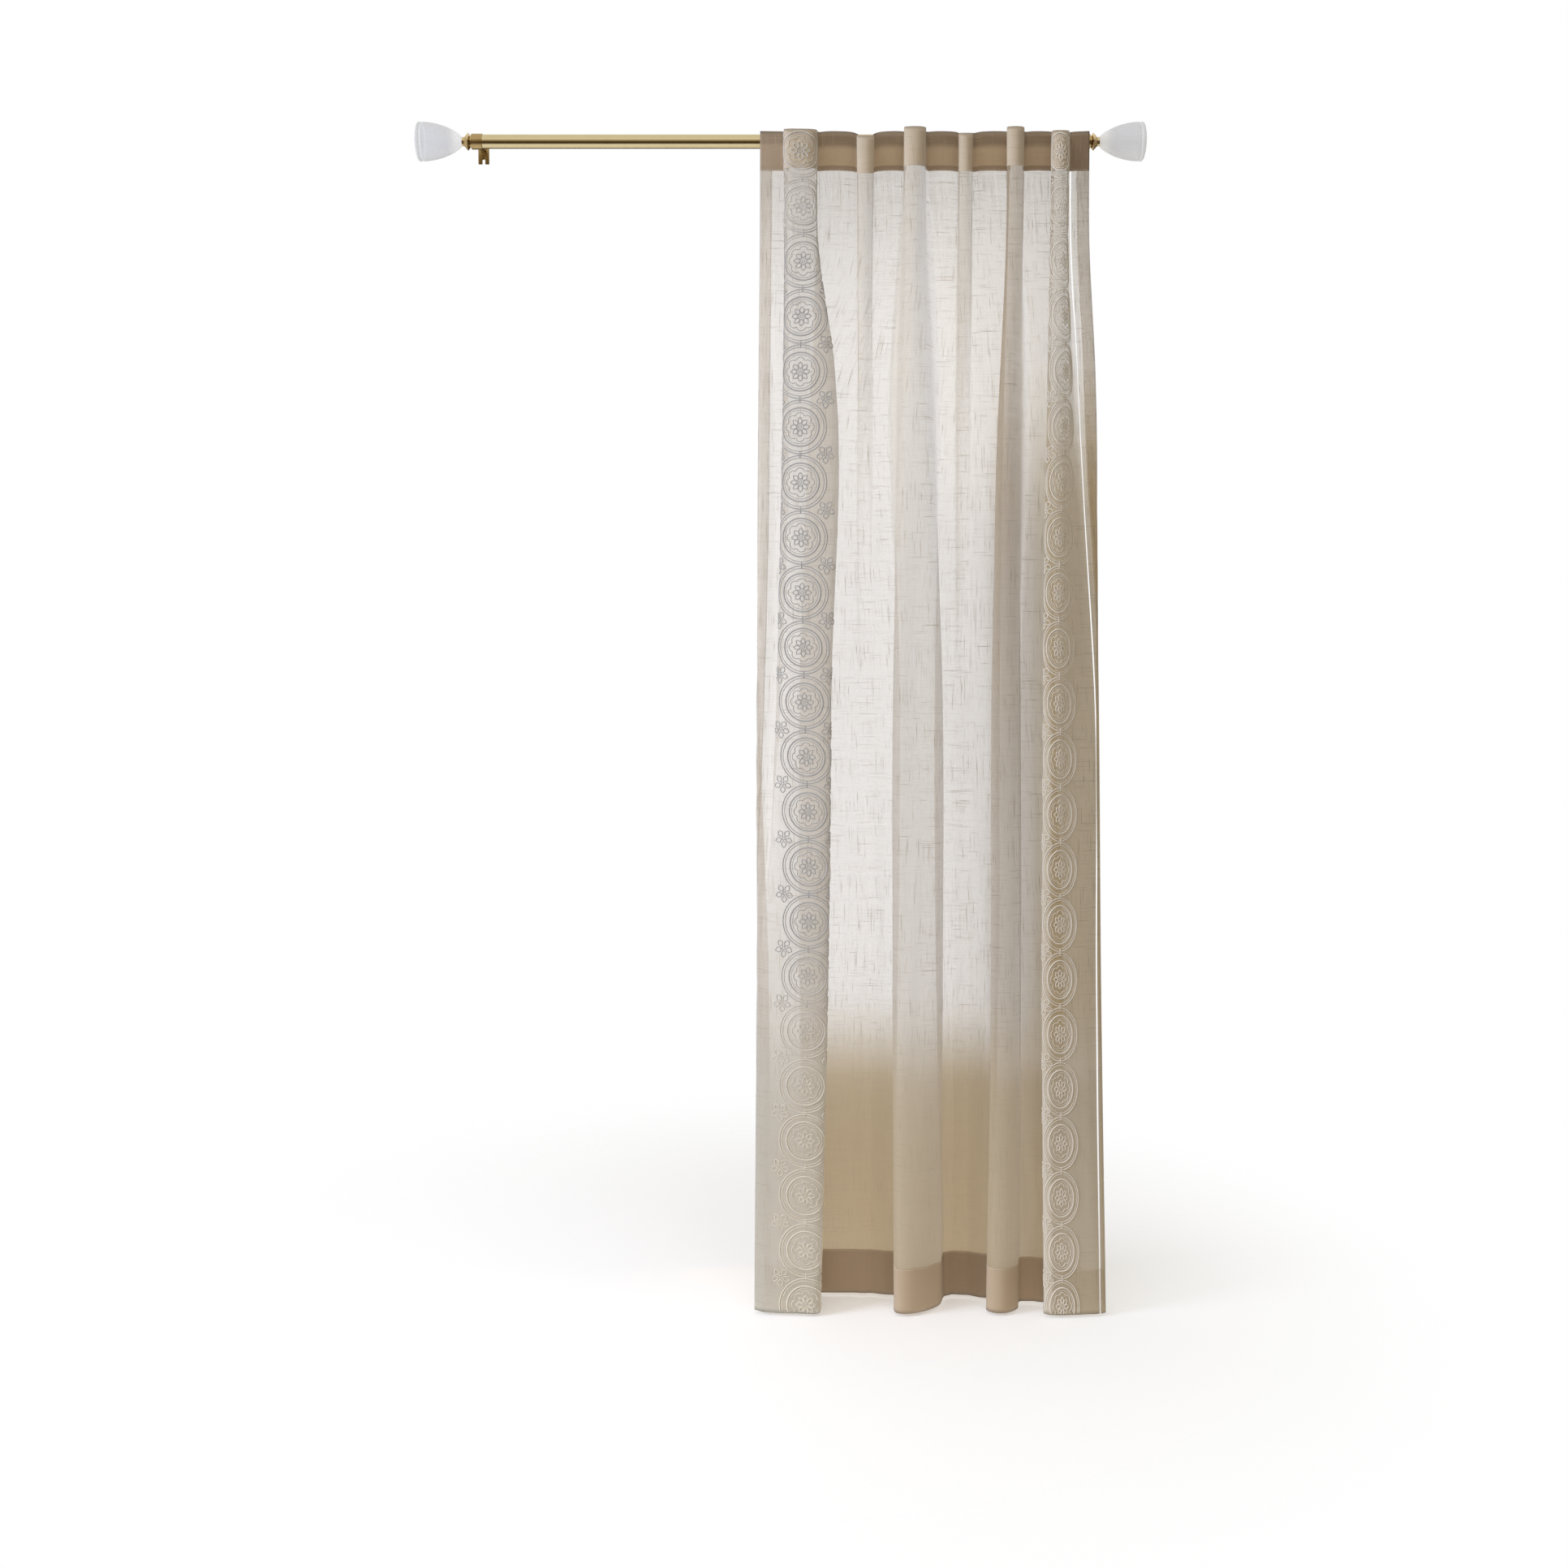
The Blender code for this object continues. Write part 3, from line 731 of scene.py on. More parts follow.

# The cloth's light and shade are painted in by place, for a light room behind its upper part: it is
# painted pale and open high up, and painted darker, browner and less open near the hem and the
# right side, where less light comes through. Places are in millimetres, across and down the flat
# cut, or in x and y where the cloth hangs. A line by the right side hem is left almost open, a crest
# band on the right border's face gets a painted highlight, and the fifth fold gets painted shade
# from the sixth.
EDGE_LINE = 1236.0
EDGE_LINE_WIDE = 2.8
EDGE_LINE_OPEN = 0.92
CREST_BAND = 1140.0
FIFTH_FOLD = 957.0
flat_at = add(tree, "ShaderNodeSeparateXYZ", {"Vector": cut})
place = add(tree, "ShaderNodeTexCoord").outputs["Object"]
hangs_at = add(tree, "ShaderNodeSeparateXYZ", {"Vector": place})
parts = {
    "across": flat_at.outputs["X"], "down": flat_at.outputs["Y"],
    "hung_x": hangs_at.outputs["X"], "hung_y": hangs_at.outputs["Y"],
    "woven_slubs": woven_slubs,
}
for name, measure, middle in (
    ("off_top", "down", 0.0),
    ("off_middle", "across", PANEL_WIDTH / 2),
    ("off_crest", "across", CREST_BAND),
    ("off_fifth", "hung_x", FIFTH_FOLD),
):
    offset = add(tree, "ShaderNodeMath", {0: parts[measure], 1: middle * MM}, operation="SUBTRACT")
    parts[name] = add(tree, "ShaderNodeMath", {0: offset}, operation="ABSOLUTE")

# Parts with a clean edge
for name, measure, how, *sizes in (
    ("in_heading", "off_top", "LESS_THAN", HEADING),
    ("below_heading", "off_top", "GREATER_THAN", HEADING),
    ("in_seam", "off_top", "COMPARE", HEADING - SEAM_TURN / 2, SEAM_TURN / 2),
    ("in_hem", "down", "GREATER_THAN", PANEL_LENGTH - HEM),
    ("in_side", "off_middle", "GREATER_THAN", PANEL_WIDTH / 2 - SIDE_HEM),
    ("edge_line", "across", "COMPARE", EDGE_LINE, EDGE_LINE_WIDE / 2),
):
    limits = {number: size * MM for number, size in enumerate(sizes, 1)}
    parts[name] = add(tree, "ShaderNodeMath", {0: parts[measure], **limits}, operation=how)

# Parts with a soft edge: where each starts, where it is full, and how much it is there if not all
for edge, rows in (
    ("SMOOTHSTEP", (
        ("on_flats", "hung_y", -145, -108),
        ("off_flats", "hung_y", -108, -145),
        ("on_faces", "off_middle", 430, 480),
        ("off_faces", "off_middle", 480, 430),
        # Painted shade where the pole lies behind the heading
        ("over_pole", "off_top", 34, 20),
        ("right_hem", "hung_x", 780, 900),
        ("near_hem", "down", 1550, 1750),
        ("at_right", "hung_x", 915, 950, 0.75),
        ("outer_side", "hung_x", 990, 1040),
        ("below_top", "down", 350, 700),
        ("on_crest", "off_crest", 11, 6),
        ("crest_from", "down", 900, 1150, 0.7),
        ("on_fifth", "off_fifth", 45, 28),
    )),
    ("LINEAR", (
        # Painted shade on the heading's end flats, darker on the last one at the right
        ("end_flats", "off_middle", 585, 600, 0.7),
        ("last_flat", "across", 1225, 1240),
        ("upper_part", "down", 1300, 200),
    )),
):
    for name, measure, start, full, *most in rows:
        parts[name] = add(tree, "ShaderNodeMapRange", {
            "Value": parts[measure], "From Min": start * MM, "From Max": full * MM,
            "To Max": most[0] if most else 1.0,
        }, interpolation_type=edge)

# Shares that follow a part: how much outside it and how much in it
for name, part, outside, inside in (
    ("side_brown", "in_side", 0.0, 0.05),
    ("seam_dark", "in_seam", 0.0, 0.8),
    # Painted shade: the darker turned tone shows fully on the heading's flats and less on the lit
    # folds
    ("heading_share", "on_flats", 0.24, 1.0),
    # Painted shade on the hem's flats, deeper towards the right
    ("hem_most", "right_hem", 0.74, 1.0),
    # Painted warm shade on the low flats, less on the folds
    ("flats_warmer", "on_flats", 0.45, 1.0),
    ("slubs_show", "near_hem", 1.0, 0.4),
):
    parts[name] = add(tree, "ShaderNodeMapRange", {
        "Value": parts[part], "To Min": outside, "To Max": inside,
    })
parts["hem_share"] = add(tree, "ShaderNodeMapRange", {
    "Value": parts["on_flats"], "To Min": 0.4, "To Max": parts["hem_most"],
})

# Parts made of others: where all of them meet (their product) or any of them is (the greatest). The
# turned layers are browner; painted shade darkens them on the heading's flats, over the pole and at
# the ends, and on the hem's flats, more so to the right. The hem is left paler on the border faces,
# as painted light, and the heading's seam is dark.
for name, how, first, *others in (
    ("slubs", "MULTIPLY", "woven_slubs", "slubs_show"),
    ("heading_brown", "MULTIPLY", "in_heading", "heading_share"),
    ("hem_brown", "MULTIPLY", "in_hem", "off_faces"),
    ("brown", "MAXIMUM", "heading_brown", "hem_brown", "side_brown"),
    ("turned", "MAXIMUM", "in_heading", "hem_brown"),
    ("seam_and_painted_shade", "MAXIMUM", "over_pole", "seam_dark", "end_flats", "last_flat"),
    ("heading_dark", "MULTIPLY", "seam_and_painted_shade", "heading_brown"),
    ("hem_dark", "MULTIPLY", "hem_brown", "hem_share"),
    ("turned_dark", "MAXIMUM", "heading_dark", "hem_dark"),
    ("near_right", "MULTIPLY", "at_right", "below_top"),
    # Painted shade down the right side, below the top
    ("outer_right", "MULTIPLY", "outer_side", "below_top"),
    # Painted warm shade on the low flats
    ("low_flats", "MULTIPLY", "near_hem", "off_faces", "flats_warmer"),
    # Painted highlight on the crest band of the right border's face
    ("crest", "MULTIPLY", "on_crest", "crest_from"),
    # Painted light on the border faces near the hem
    ("low_faces", "MULTIPLY", "on_faces", "near_hem"),
    ("paler", "MAXIMUM", "low_faces", "crest"),
    # Painted shade on the fifth fold
    ("in_shade", "MULTIPLY", "on_fifth", "upper_part", "off_flats", "below_heading"),
    ("dense_and_painted_crest", "MAXIMUM", "crest", "turned"),
    ("painted_shade_behind", "MAXIMUM", "near_hem", "near_right"),
):
    joined = parts[first]
    for other in others:
        joined = add(tree, "ShaderNodeMath", {0: joined, 1: parts[other]}, operation=how)
    parts[name] = joined

# Tones of the yarn, and of the light that comes through it, each laid over those before it: one
# layer is a pale warm grey, and the turned layers are browner. Painted shade darkens the fifth fold,
# the right side and the low flats, painted light pales the low border faces and the crest band, and
# the light through the flats is painted paler than on the folds.
turned_tone = add(tree, "ShaderNodeMix", {
    "Factor": parts["turned_dark"], "A": linear("DEC8AA"), "B": linear("AF9A83"),
}, data_type="RGBA")
tones = {}
for layer, tone, laid_over in (
    # Yarn: painted shade on the fifth fold, the right side and the low flats, and painted light on
    # the low faces and crest
    ("yarn", linear("E0D0B8"), (
        ("in_shade", linear("C8B294")), ("outer_right", linear("DFCAA2")),
        ("low_flats", linear("C9B383")), ("brown", turned_tone),
        ("paler", linear("E8DFCD")), ("slubs", linear("CDBC9F")),
    )),
    # Light through: painted paler on the flats, and painted shade on the fifth fold, the right side
    # and the low flats
    ("glow", linear("E6E7E6"), (
        ("on_flats", linear("F4F2EF")), ("in_shade", linear("C6BAA6")),
        ("outer_right", linear("E3D8C0")), ("low_flats", linear("E6D8BC")),
        ("slubs", linear("A8A198")), ("brown", linear("B29C7E")),
    )),
):
    for part, colour in laid_over:
        tone = add(tree, "ShaderNodeMix", {
            "Factor": parts[part], "A": tone, "B": colour,
        }, data_type="RGBA")
    tones[layer] = tone
relief = add(tree, "ShaderNodeBump", {"Height": weave, "Strength": 0.35, "Distance": 0.35 * MM})
yarn = add(tree, "ShaderNodeBsdfPrincipled", {
    "Base Color": tones["yarn"], "Roughness": 0.88, "Sheen Weight": 0.15,
    "Specular IOR Level": 0.25, "Normal": relief,
})
glow = add(tree, "ShaderNodeBsdfTranslucent", {"Color": tones["glow"], "Normal": relief})
# Less light passes through the turned layers, and through the crest band as part of its painted
# highlight
passing = add(tree, "ShaderNodeMapRange", {"Value": parts["dense_and_painted_crest"], "To Min": 0.58, "To Max": 0.2})
cloth = add(tree, "ShaderNodeMixShader", {0: passing, 1: yarn, 2: glow})

# Open between the yarns, and less so through slubs and through the turned layers. As painted shade,
# it is also less open on the folds, near the hem and the right side.
openness = add(tree, "ShaderNodeMapRange", {
    "Value": yarns, "From Min": 0.75, "From Max": 1.25, "To Min": 0.49, "To Max": 0.29,
})
# Painted shade: less open on the folds, near the hem and the right side
for part, outside, inside in (("slubs", 1.0, 0.2), ("on_flats", 0.6, 1.0), ("painted_shade_behind", 1.0, 0.15)):
    share = add(tree, "ShaderNodeMapRange", {
        "Value": parts[part], "To Min": outside, "To Max": inside,
    })
    openness = add(tree, "ShaderNodeMath", {0: openness, 1: share}, operation="MULTIPLY")
open_line = add(tree, "ShaderNodeMath", {
    0: parts["edge_line"], 1: EDGE_LINE_OPEN, 2: openness,
}, operation="MULTIPLY_ADD")
open_turned = add(tree, "ShaderNodeMapRange", {
    "Value": parts["turned"], "To Min": 1.0, "To Max": 0.1,
})
open_share = add(tree, "ShaderNodeMath", {
    0: open_line, 1: open_turned,
}, operation="MULTIPLY", use_clamp=True)
sheer = add(tree, "ShaderNodeMixShader", {
    0: open_share, 1: cloth, 2: add(tree, "ShaderNodeBsdfTransparent"),
})
add(tree, "ShaderNodeOutputMaterial", {"Surface": sheer})

panel = ride_as(
    "voile_panel",
    grid_mesh("voile_panel", panel_points, np.stack([flat_across, flat_down], axis=-1) * MM),
    voile, ["panel"],
)


# Seven back tabs of the same voile are sewn behind the flats of the heading and loop over the pole.
# Each is a strip, sewn at its front end to the top of the heading and at its foot below the pole.
TABS = tuple(f"tab_{number}" for number in range(1, 8))
TAB_THICK = 1.2
TAB_CLEAR = 0.3
TAB_FILL = 0.8
TAB_FOOT = 58.0
TAB_ARC_STEPS = 28
TAB_RUN_STEPS = 10
TAB_COLUMNS = 9
TAB_BOW = 0.5
TAB_CUT_FROM = 400.0
tab_radius = pole_radius / MM + TAB_CLEAR + TAB_THICK / 2
tab_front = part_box("tab_1")[0].y / MM + TAB_THICK / 2


def tab_line():
    """The strip's middle line as (y, z) in millimetres, over the pole and forward to its foot."""
    axis = pole_middle / MM
    foot = Vector((tab_front - axis.y, PANEL_TOP - TAB_FOOT))
    leaves = math.atan2(foot.y, foot.x) + math.acos(tab_radius / foot.length)
    line = [Vector((foot.x, tab_radius))]
    for k in range(TAB_ARC_STEPS + 1):
        angle = math.pi / 2 + (leaves - math.pi / 2) * k / TAB_ARC_STEPS
        line.append(Vector((math.cos(angle), math.sin(angle))) * tab_radius)
    start = line[-1]
    line += [start.lerp(foot, k / TAB_RUN_STEPS) for k in range(1, TAB_RUN_STEPS + 1)]
    return np.array([(axis.y + p.x, axis.z + p.y) for p in line])


# A tab's cut starts below the heading's on the flat cut, so that it takes the plain voile's tone
tab_places = tab_line()
tab_walked = np.concatenate([[0], np.cumsum(np.hypot(*np.diff(tab_places, axis=0).T))])
for name in TABS:
    low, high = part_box(name)
    xs = np.linspace(low.x, high.x, TAB_COLUMNS)
    bow = TAB_BOW * MM * (1 - np.linspace(-1, 1, TAB_COLUMNS) ** 2)
    points = np.zeros((len(tab_places), TAB_COLUMNS, 3))
    points[..., 0] = xs
    points[..., 1] = tab_places[:, :1] * MM
    points[..., 2] = tab_places[:, 1:] * MM + bow
    flat = np.stack(np.meshgrid(xs - low.x, (TAB_CUT_FROM + tab_walked) * MM), axis=-1)
    tab = ride_as(f"voile_{name}", grid_mesh(f"voile_{name}", points, flat), voile, [name])
    thicken = tab.modifiers.new("Two layers of voile", "SOLIDIFY")
    thicken.thickness = TAB_FILL * TAB_THICK * MM
    thicken.offset = 0


# A border of couched cord runs down each side, worked by machine in thick off-white cotton: a chain
# of roundels of plain rings with an eight-petalled rosette, and a small blossom beside each joint.
BORDER_FROM_LEFT = 130.0
BORDER_FROM_RIGHT = 104.0
ROUNDEL_PITCH = 99.0
FIRST_ROUNDEL = 39.0
CORD_SECTION = ((-1.0, 0.0), (-0.6, 1.2), (0.6, 1.2), (1.0, 0.0), (0.0, -0.3))

# The right border's face turns away from the front, so its chain is narrower and its outer blossoms
# fall behind the fold
RIGHT_NARROWED = 0.64
RIGHT_BLOSSOM_OUT = 30.0

# Rings as (radius, weight), and petals as (near end, far end, half width)
RINGS = ((48.0, 1.0), (43.5, 0.7), (34.5, 1.3), (30.0, 0.5))
RING_STEPS = 48
ROSETTE_EYE = 2.6
ROSETTE_PETALS = 8
ROSETTE_PETAL = (5.0, 17.5, 3.8)
PETAL_STEPS = 10
SCALLOP_OUT = 18.0
SCALLOP_RADIUS = 8.0
SCALLOP_TURN = 75
SCALLOP_STEPS = 8
JOINT_BAR = 6.0
BLOSSOM_OUT = 46.0
BLOSSOM_EYE = 2.8
BLOSSOM_PETALS = 5
BLOSSOM_PETAL = (4.5, 16.5, 4.6)
BLOSSOM_STEPS = 7

# Couched cotton cord, off-white and matt, with copies of its tone for light and for shade painted by
# place: grey where the cloth about it glows against the light, paler than the voile where the cloth
# is in shade, near the hem, on the heading and down the right border, and a plain pale tone low on
# the left. Its twist is 1 mm long.
BETWEEN_BORDERS = 800 * MM
cotton, tree = new_material("couched_cotton_cord")
place = add(tree, "ShaderNodeTexCoord").outputs["Object"]
twist = add(tree, "ShaderNodeTexNoise", {"Vector": place, "Scale": 1 / (1.0 * MM), "Detail": 1.0})
hangs_at = add(tree, "ShaderNodeSeparateXYZ", {"Vector": place})
low_down = add(tree, "ShaderNodeMapRange", {
    "Value": hangs_at.outputs["Z"], "From Min": -1.40, "From Max": -1.85,
}, interpolation_type="SMOOTHSTEP")
high_up = add(tree, "ShaderNodeMapRange", {
    "Value": hangs_at.outputs["Z"], "From Min": -0.30, "From Max": -0.05, "To Max": 0.6,
}, interpolation_type="SMOOTHSTEP")
on_right = add(tree, "ShaderNodeMath", {
    0: hangs_at.outputs["X"], 1: BETWEEN_BORDERS,
}, operation="GREATER_THAN")
on_left = add(tree, "ShaderNodeMath", {0: 1.0, 1: on_right}, operation="SUBTRACT")
low_or_high = add(tree, "ShaderNodeMath", {0: low_down, 1: high_up}, operation="MAXIMUM")
in_dim = add(tree, "ShaderNodeMath", {0: low_or_high, 1: on_right}, operation="MAXIMUM")
low_left = add(tree, "ShaderNodeMath", {0: low_down, 1: on_left}, operation="MULTIPLY")
# Copies of the cord's tone for light and shade: painted grey against the light, paler in the shade
lit_tone = add(tree, "ShaderNodeMix", {
    "Factor": twist, "A": linear("9F9D9A"), "B": linear("C5C3BF"),
}, data_type="RGBA")
dim_tone = add(tree, "ShaderNodeMix", {
    "Factor": twist, "A": linear("DAD1C2"), "B": linear("F3ECE0"),
}, data_type="RGBA")
border_tone = add(tree, "ShaderNodeMix", {
    "Factor": in_dim, "A": lit_tone, "B": dim_tone,
}, data_type="RGBA")
tone = add(tree, "ShaderNodeMix", {
    "Factor": low_left, "A": border_tone, "B": linear("E5DCCA"),
}, data_type="RGBA")
relief = add(tree, "ShaderNodeBump", {"Height": twist, "Strength": 0.4, "Distance": 0.3 * MM})
cord = add(tree, "ShaderNodeBsdfPrincipled", {
    "Base Color": tone, "Roughness": 0.75, "Sheen Weight": 0.2, "Normal": relief,
})
add(tree, "ShaderNodeOutputMaterial", {"Surface": cord})


def arc(centre, radius, start, end, steps):
    angles = np.radians(np.linspace(start, end, steps + 1))
    return np.array(centre) + radius * np.stack([np.cos(angles), np.sin(angles)], axis=-1)


def petal(centre, near, far, width, turn, steps):
    """A closed pointed leaf that lies outwards from a centre at a turn in degrees."""
    share = np.linspace(0, 1, steps + 1)
    edge = np.stack([near + (far - near) * share, width * np.sin(math.pi * share)], axis=-1)
    outline = np.concatenate([edge, edge[-2::-1] * (1, -1)])
    c, s = math.cos(math.radians(turn)), math.sin(math.radians(turn))
    return np.array(centre) + outline @ np.array([[c, s], [-s, c]])


def roundel(centre):
    """Lines of one roundel as (points, weight) on the flat cut."""
    lines = [(arc(centre, radius, 0, 360, RING_STEPS), weight) for radius, weight in RINGS]
    lines.append((arc(centre, ROSETTE_EYE, 0, 360, 10), 0.7))
    for k in range(ROSETTE_PETALS):
        turn = 360 / ROSETTE_PETALS * k
        lines.append((petal(centre, *ROSETTE_PETAL, turn, PETAL_STEPS), 0.85))
        out = math.radians(turn)
        seat = np.array(centre) + SCALLOP_OUT * np.array([math.cos(out), math.sin(out)])
        scallop = arc(seat, SCALLOP_RADIUS, turn - SCALLOP_TURN, turn + SCALLOP_TURN, SCALLOP_STEPS)
        lines.append((scallop, 0.7))
    return lines


def blossom(centre, outwards):
    """Lines of a small blossom beside a joint of the chain."""
    seat = (centre[0] + outwards, centre[1])
    lines = [(arc(seat, BLOSSOM_EYE, 0, 360, 8), 0.8)]
    for k in range(BLOSSOM_PETALS):
        turn = 90 + 360 / BLOSSOM_PETALS * k
        lines.append((petal(seat, *BLOSSOM_PETAL, turn, BLOSSOM_STEPS), 0.9))
    return lines


def on_the_front(line, weight):
    """The runs of a line that lie on the front, between the heading's fold and the hem's."""
    inside = (line[:, 1] > 1) & (line[:, 1] < PANEL_LENGTH - 1)
    if inside.all():
        return [(line, weight)]
    breaks = np.flatnonzero(np.diff(inside.astype(int))) + 1
    runs = zip(np.split(line, breaks), np.split(inside, breaks))
    return [(run, weight) for run, kept in runs if kept[0] and len(run) > 1]


def cord_mesh(name, lines):
    """One mesh of raised cords that follow lines on the cloth, as (points on the cut, weight)."""
    points, faces, total = [], [], 0
    section = np.array(CORD_SECTION)
    sides = len(section)
    for line, weight in lines:
        closed = np.allclose(line[0], line[-1])
        along = np.gradient(line, axis=0)
        if closed:
            along[0] = along[-1] = line[1] - line[-2]
        along /= np.linalg.norm(along, axis=-1, keepdims=True)
        aside = np.stack([-along[:, 1], along[:, 0]], axis=-1)
        spread = line[:, None] + aside[:, None] * (section[:, 0] * weight)[None, :, None]
        lift = np.broadcast_to(section[:, 1] * weight, spread.shape[:2])
        points.append(on_cloth(spread[..., 0], spread[..., 1], lift).reshape(-1, 3))
        number = total + np.arange(len(line) * sides).reshape(len(line), sides)
        if closed:
            number[-1] = number[0]
        here, there = number[:-1], number[1:]
        quads = (here, np.roll(here, -1, axis=1), np.roll(there, -1, axis=1), there)
        faces += np.stack(quads, axis=-1).reshape(-1, 4).tolist()
        if not closed:
            faces += [number[0, ::-1].tolist(), number[-1].tolist()]
        total += len(line) * sides
    mesh = bpy.data.meshes.new(name)
    mesh.from_pydata(np.concatenate(points).tolist(), [], faces)
    bm = bmesh.new()
    bm.from_mesh(mesh)
    bmesh.ops.delete(bm, geom=[v for v in bm.verts if not v.link_faces], context="VERTS")
    bmesh.ops.recalc_face_normals(bm, faces=bm.faces)
    bm.to_mesh(mesh)
    bm.free()
    mesh.shade_smooth()
    return mesh


for side, middle, narrowed, flowers in (
    ("left", BORDER_FROM_LEFT, 1.0, (-BLOSSOM_OUT, BLOSSOM_OUT)),
    ("right", PANEL_WIDTH - BORDER_FROM_RIGHT, RIGHT_NARROWED, (-RIGHT_BLOSSOM_OUT,)),
):
    lines = []
    for down in np.arange(FIRST_ROUNDEL, PANEL_LENGTH, ROUNDEL_PITCH):
        joint = (middle, down + ROUNDEL_PITCH / 2)
        bar = [[middle, joint[1] - JOINT_BAR], joint, [middle, joint[1] + JOINT_BAR]]
        chain = [*roundel((middle, down)), (np.array(bar), 0.9)]
        for line, _ in chain:
            line[:, 0] = middle + (line[:, 0] - middle) * narrowed
        lines += chain
        for outwards in flowers:
            lines += blossom(joint, outwards)
    lines = [part for line in lines for part in on_the_front(*line)]
    ride_as(
        f"corded_border_{side}", cord_mesh(f"corded_border_{side}", lines), cotton,
    )


# The turned hems are held by lockstitch in fine thread, one line each along the heading, the bottom
# hem and both sides, 5 mm a stitch.
STITCH_PITCH = 5.0
STITCH_LONG = 3.4
STITCH_WEIGHT = 0.35
STITCH_IN = 2.0


def stitch_row(start, end):
    """Single stitches along a line on the flat cut."""
    start, end = np.array(start), np.array(end)
    count = int(np.linalg.norm(end - start) / STITCH_PITCH)
    step = (end - start) / count
    stitch = step * STITCH_LONG / STITCH_PITCH
    starts = [start + step * k for k in range(count)]
    return [(np.array([place, place + stitch]), STITCH_WEIGHT) for place in starts]


heading_line = HEADING - STITCH_IN
hem_line = PANEL_LENGTH - HEM + STITCH_IN
side_line = SIDE_HEM - STITCH_IN
stitches = []
for down in (heading_line, hem_line):
    stitches += stitch_row((STITCH_IN, down), (PANEL_WIDTH - STITCH_IN, down))
for across in (side_line, PANEL_WIDTH - side_line):
    stitches += stitch_row((across, HEADING + STITCH_IN), (across, hem_line - STITCH_IN))
ride_as("hem_lockstitch", cord_mesh("hem_lockstitch", stitches), cotton)


# The floor is plain, pale and matt, just below the bottom hem. It fades out towards its rim, so that
# no edge of it shows.
FLOOR_DROP = 6 * MM
FLOOR_RADIUS = 1.3
FLOOR_FADES_FROM = 0.2
bm = bmesh.new()
bmesh.ops.create_circle(bm, cap_ends=True, segments=96, radius=FLOOR_RADIUS)
floor_mesh = bpy.data.meshes.new("floor")
bm.to_mesh(floor_mesh)
bm.free()
floor = bpy.data.objects.new("floor", floor_mesh)
floor.location = (0.55, 0.0, cad_box[0].z - FLOOR_DROP)
scene.collection.objects.link(floor)
paint, tree = new_material("pale_matt_floor")
matt = add(tree, "ShaderNodeBsdfPrincipled", {
    "Base Color": linear("F4F3F1"), "Roughness": 0.9,
    "Emission Color": linear("FFFFFF"), "Emission Strength": 0.28,
})
place = add(tree, "ShaderNodeTexCoord").outputs["Object"]
from_centre = add(tree, "ShaderNodeVectorMath", {0: place}, operation="LENGTH")
fades = add(tree, "ShaderNodeMapRange", {
    "Value": from_centre, "From Min": FLOOR_FADES_FROM, "From Max": FLOOR_RADIUS,
}, interpolation_type="SMOOTHSTEP")
faded = add(tree, "ShaderNodeMixShader", {
    0: fades, 1: matt, 2: add(tree, "ShaderNodeBsdfTransparent"),
})
add(tree, "ShaderNodeOutputMaterial", {"Surface": faded})
floor_mesh.materials.append(paint)


# Soft studio light in a pale room, brightest overhead: a large cool lamp at the left, a weak warm
# one low in front, a broad one high in front, and three behind the cloth that make it glow, one all
# down it, one high on the right and a warm one near the hem.
scene.view_settings.view_transform = "Standard"
world = bpy.data.worlds.new("pale_room")
scene.world = world
world.use_nodes = True
tree = world.node_tree
tree.nodes.clear()
towards = add(tree, "ShaderNodeTexCoord").outputs["Generated"]
height = add(tree, "ShaderNodeSeparateXYZ", {"Vector": towards})
steep = add(tree, "ShaderNodeMath", {0: height.outputs["Z"]}, operation="ABSOLUTE")
brightness = add(tree, "ShaderNodeMapRange", {
    "Value": steep, "From Min": 0.1, "From Max": 0.8, "To Min": 0.06, "To Max": 0.55,
}, interpolation_type="SMOOTHSTEP")
room = add(tree, "ShaderNodeBackground", {"Color": linear("F2EADD"), "Strength": brightness})

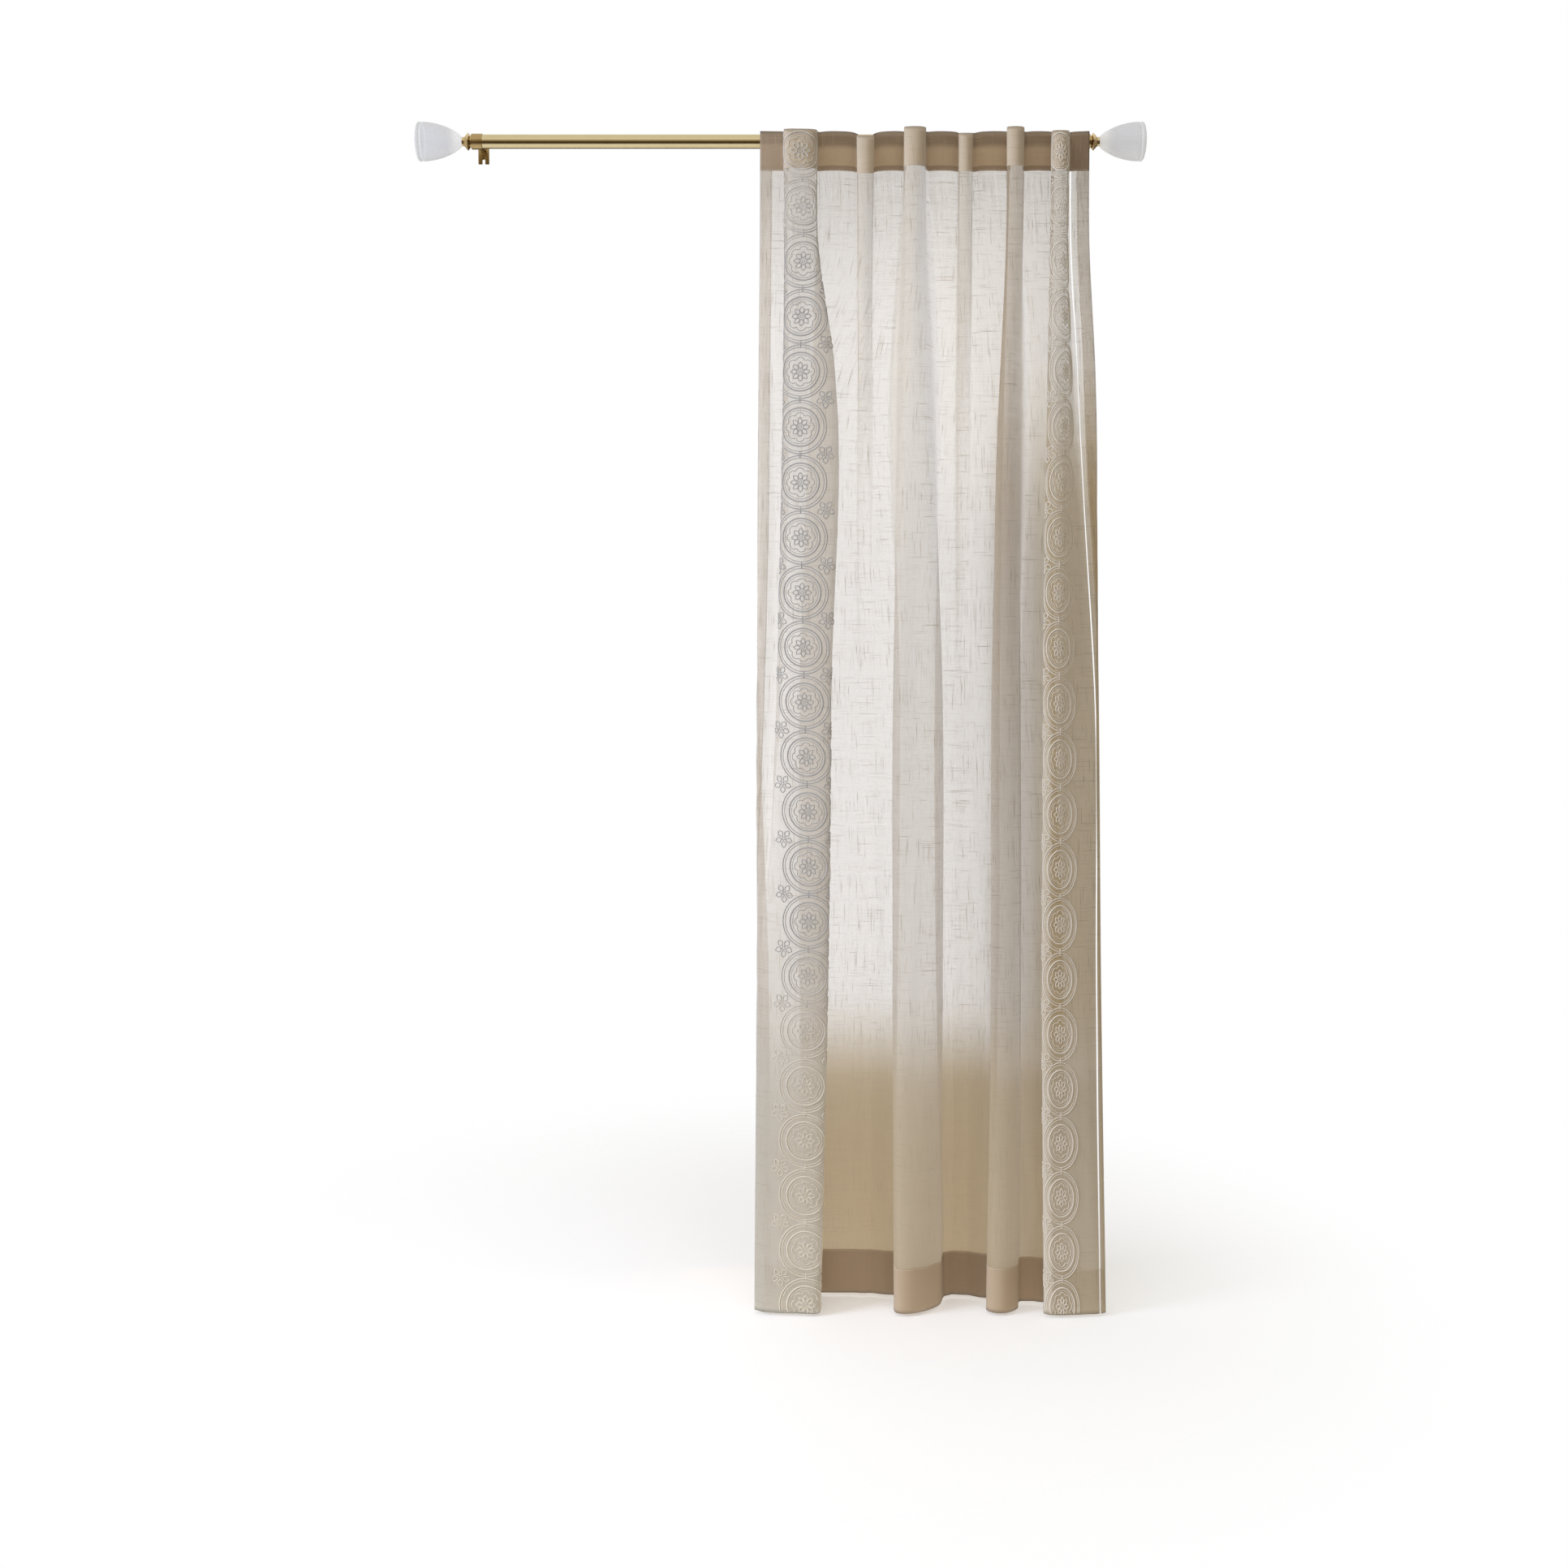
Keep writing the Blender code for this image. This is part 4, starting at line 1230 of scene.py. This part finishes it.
# Polished pieces mirror a plain room and not the lamps: from below to overhead it is pale, has one
# dark band, and turns bright again, and its left side is bright all the way
SHINE = (
    (0.10, "FAFCFF"), (0.16, "4E3F2B"), (0.40, "4E3F2B"), (0.60, "BDB29C"), (0.74, "FCFEFF"),
)
from_below = add(tree, "ShaderNodeMapRange", {"Value": height.outputs["Z"], "From Min": -1.0})
shine = add(tree, "ShaderNodeValToRGB", {"Fac": from_below})
shine_steps = shine.color_ramp.elements
shine_steps[0].color, shine_steps[1].color = linear("FAFCFF"), linear("F2F2F0")
for share, colour in SHINE:
    shine_steps.new(share).color = linear(colour)
from_left = add(tree, "ShaderNodeMapRange", {
    "Value": height.outputs["X"], "From Min": -0.35, "From Max": -0.8,
}, interpolation_type="SMOOTHSTEP")
room_shine = add(tree, "ShaderNodeMix", {
    "Factor": from_left, "A": shine, "B": linear("FFF6E0"),
}, data_type="RGBA")
mirrored = add(tree, "ShaderNodeBackground", {"Color": room_shine, "Strength": 1.0})
backdrop = add(tree, "ShaderNodeBackground", {"Color": (1, 1, 1, 1), "Strength": 1.0})
seen = add(tree, "ShaderNodeLightPath")
room_light = add(tree, "ShaderNodeMixShader", {
    0: seen.outputs["Is Glossy Ray"], 1: room, 2: mirrored,
})
surroundings = add(tree, "ShaderNodeMixShader", {
    0: seen.outputs["Is Camera Ray"], 1: room_light, 2: backdrop,
})
add(tree, "ShaderNodeOutputWorld", {"Surface": surroundings})


def soft_lamp(name, place, aim, size, watts, colour):
    lamp = bpy.data.objects.new(name, bpy.data.lights.new(name, "AREA"))
    lamp.data.shape = "RECTANGLE"
    lamp.data.size, lamp.data.size_y = size
    lamp.data.energy = watts
    lamp.data.color = linear(colour)[:3]
    lamp.location = place
    lamp.rotation_euler = (Vector(aim) - Vector(place)).to_track_quat("-Z", "Y").to_euler()
    lamp.visible_camera = False
    lamp.visible_glossy = False
    scene.collection.objects.link(lamp)


soft_lamp("side_lamp", (-2.4, -1.5, -0.6), (0.75, -0.12, -1.0), (1.2, 2.0), 106, "DCE7FF")
soft_lamp("front_lamp", (1.0, -2.2, -1.85), (0.85, -0.1, -1.1), (1.8, 0.6), 8, "FFECD2")
soft_lamp("back_lamp", (0.60, 0.06, -0.91), (0.60, -0.1, -0.91), (0.60, 1.48), 2.5, "F4F7FF")
soft_lamp("high_lamp", (0.95, 0.06, -0.38), (0.95, -0.1, -0.38), (0.34, 0.5), 0.3, "FFFAF0")
soft_lamp("low_lamp", (0.72, 0.06, -1.9), (0.72, -0.1, -1.9), (0.75, 0.4), 0.14, "FFC870")
soft_lamp("top_lamp", (0.4, -1.5, 1.75), (0.5, -0.1, -0.2), (2.4, 1.0), 22, "FFFFFF")
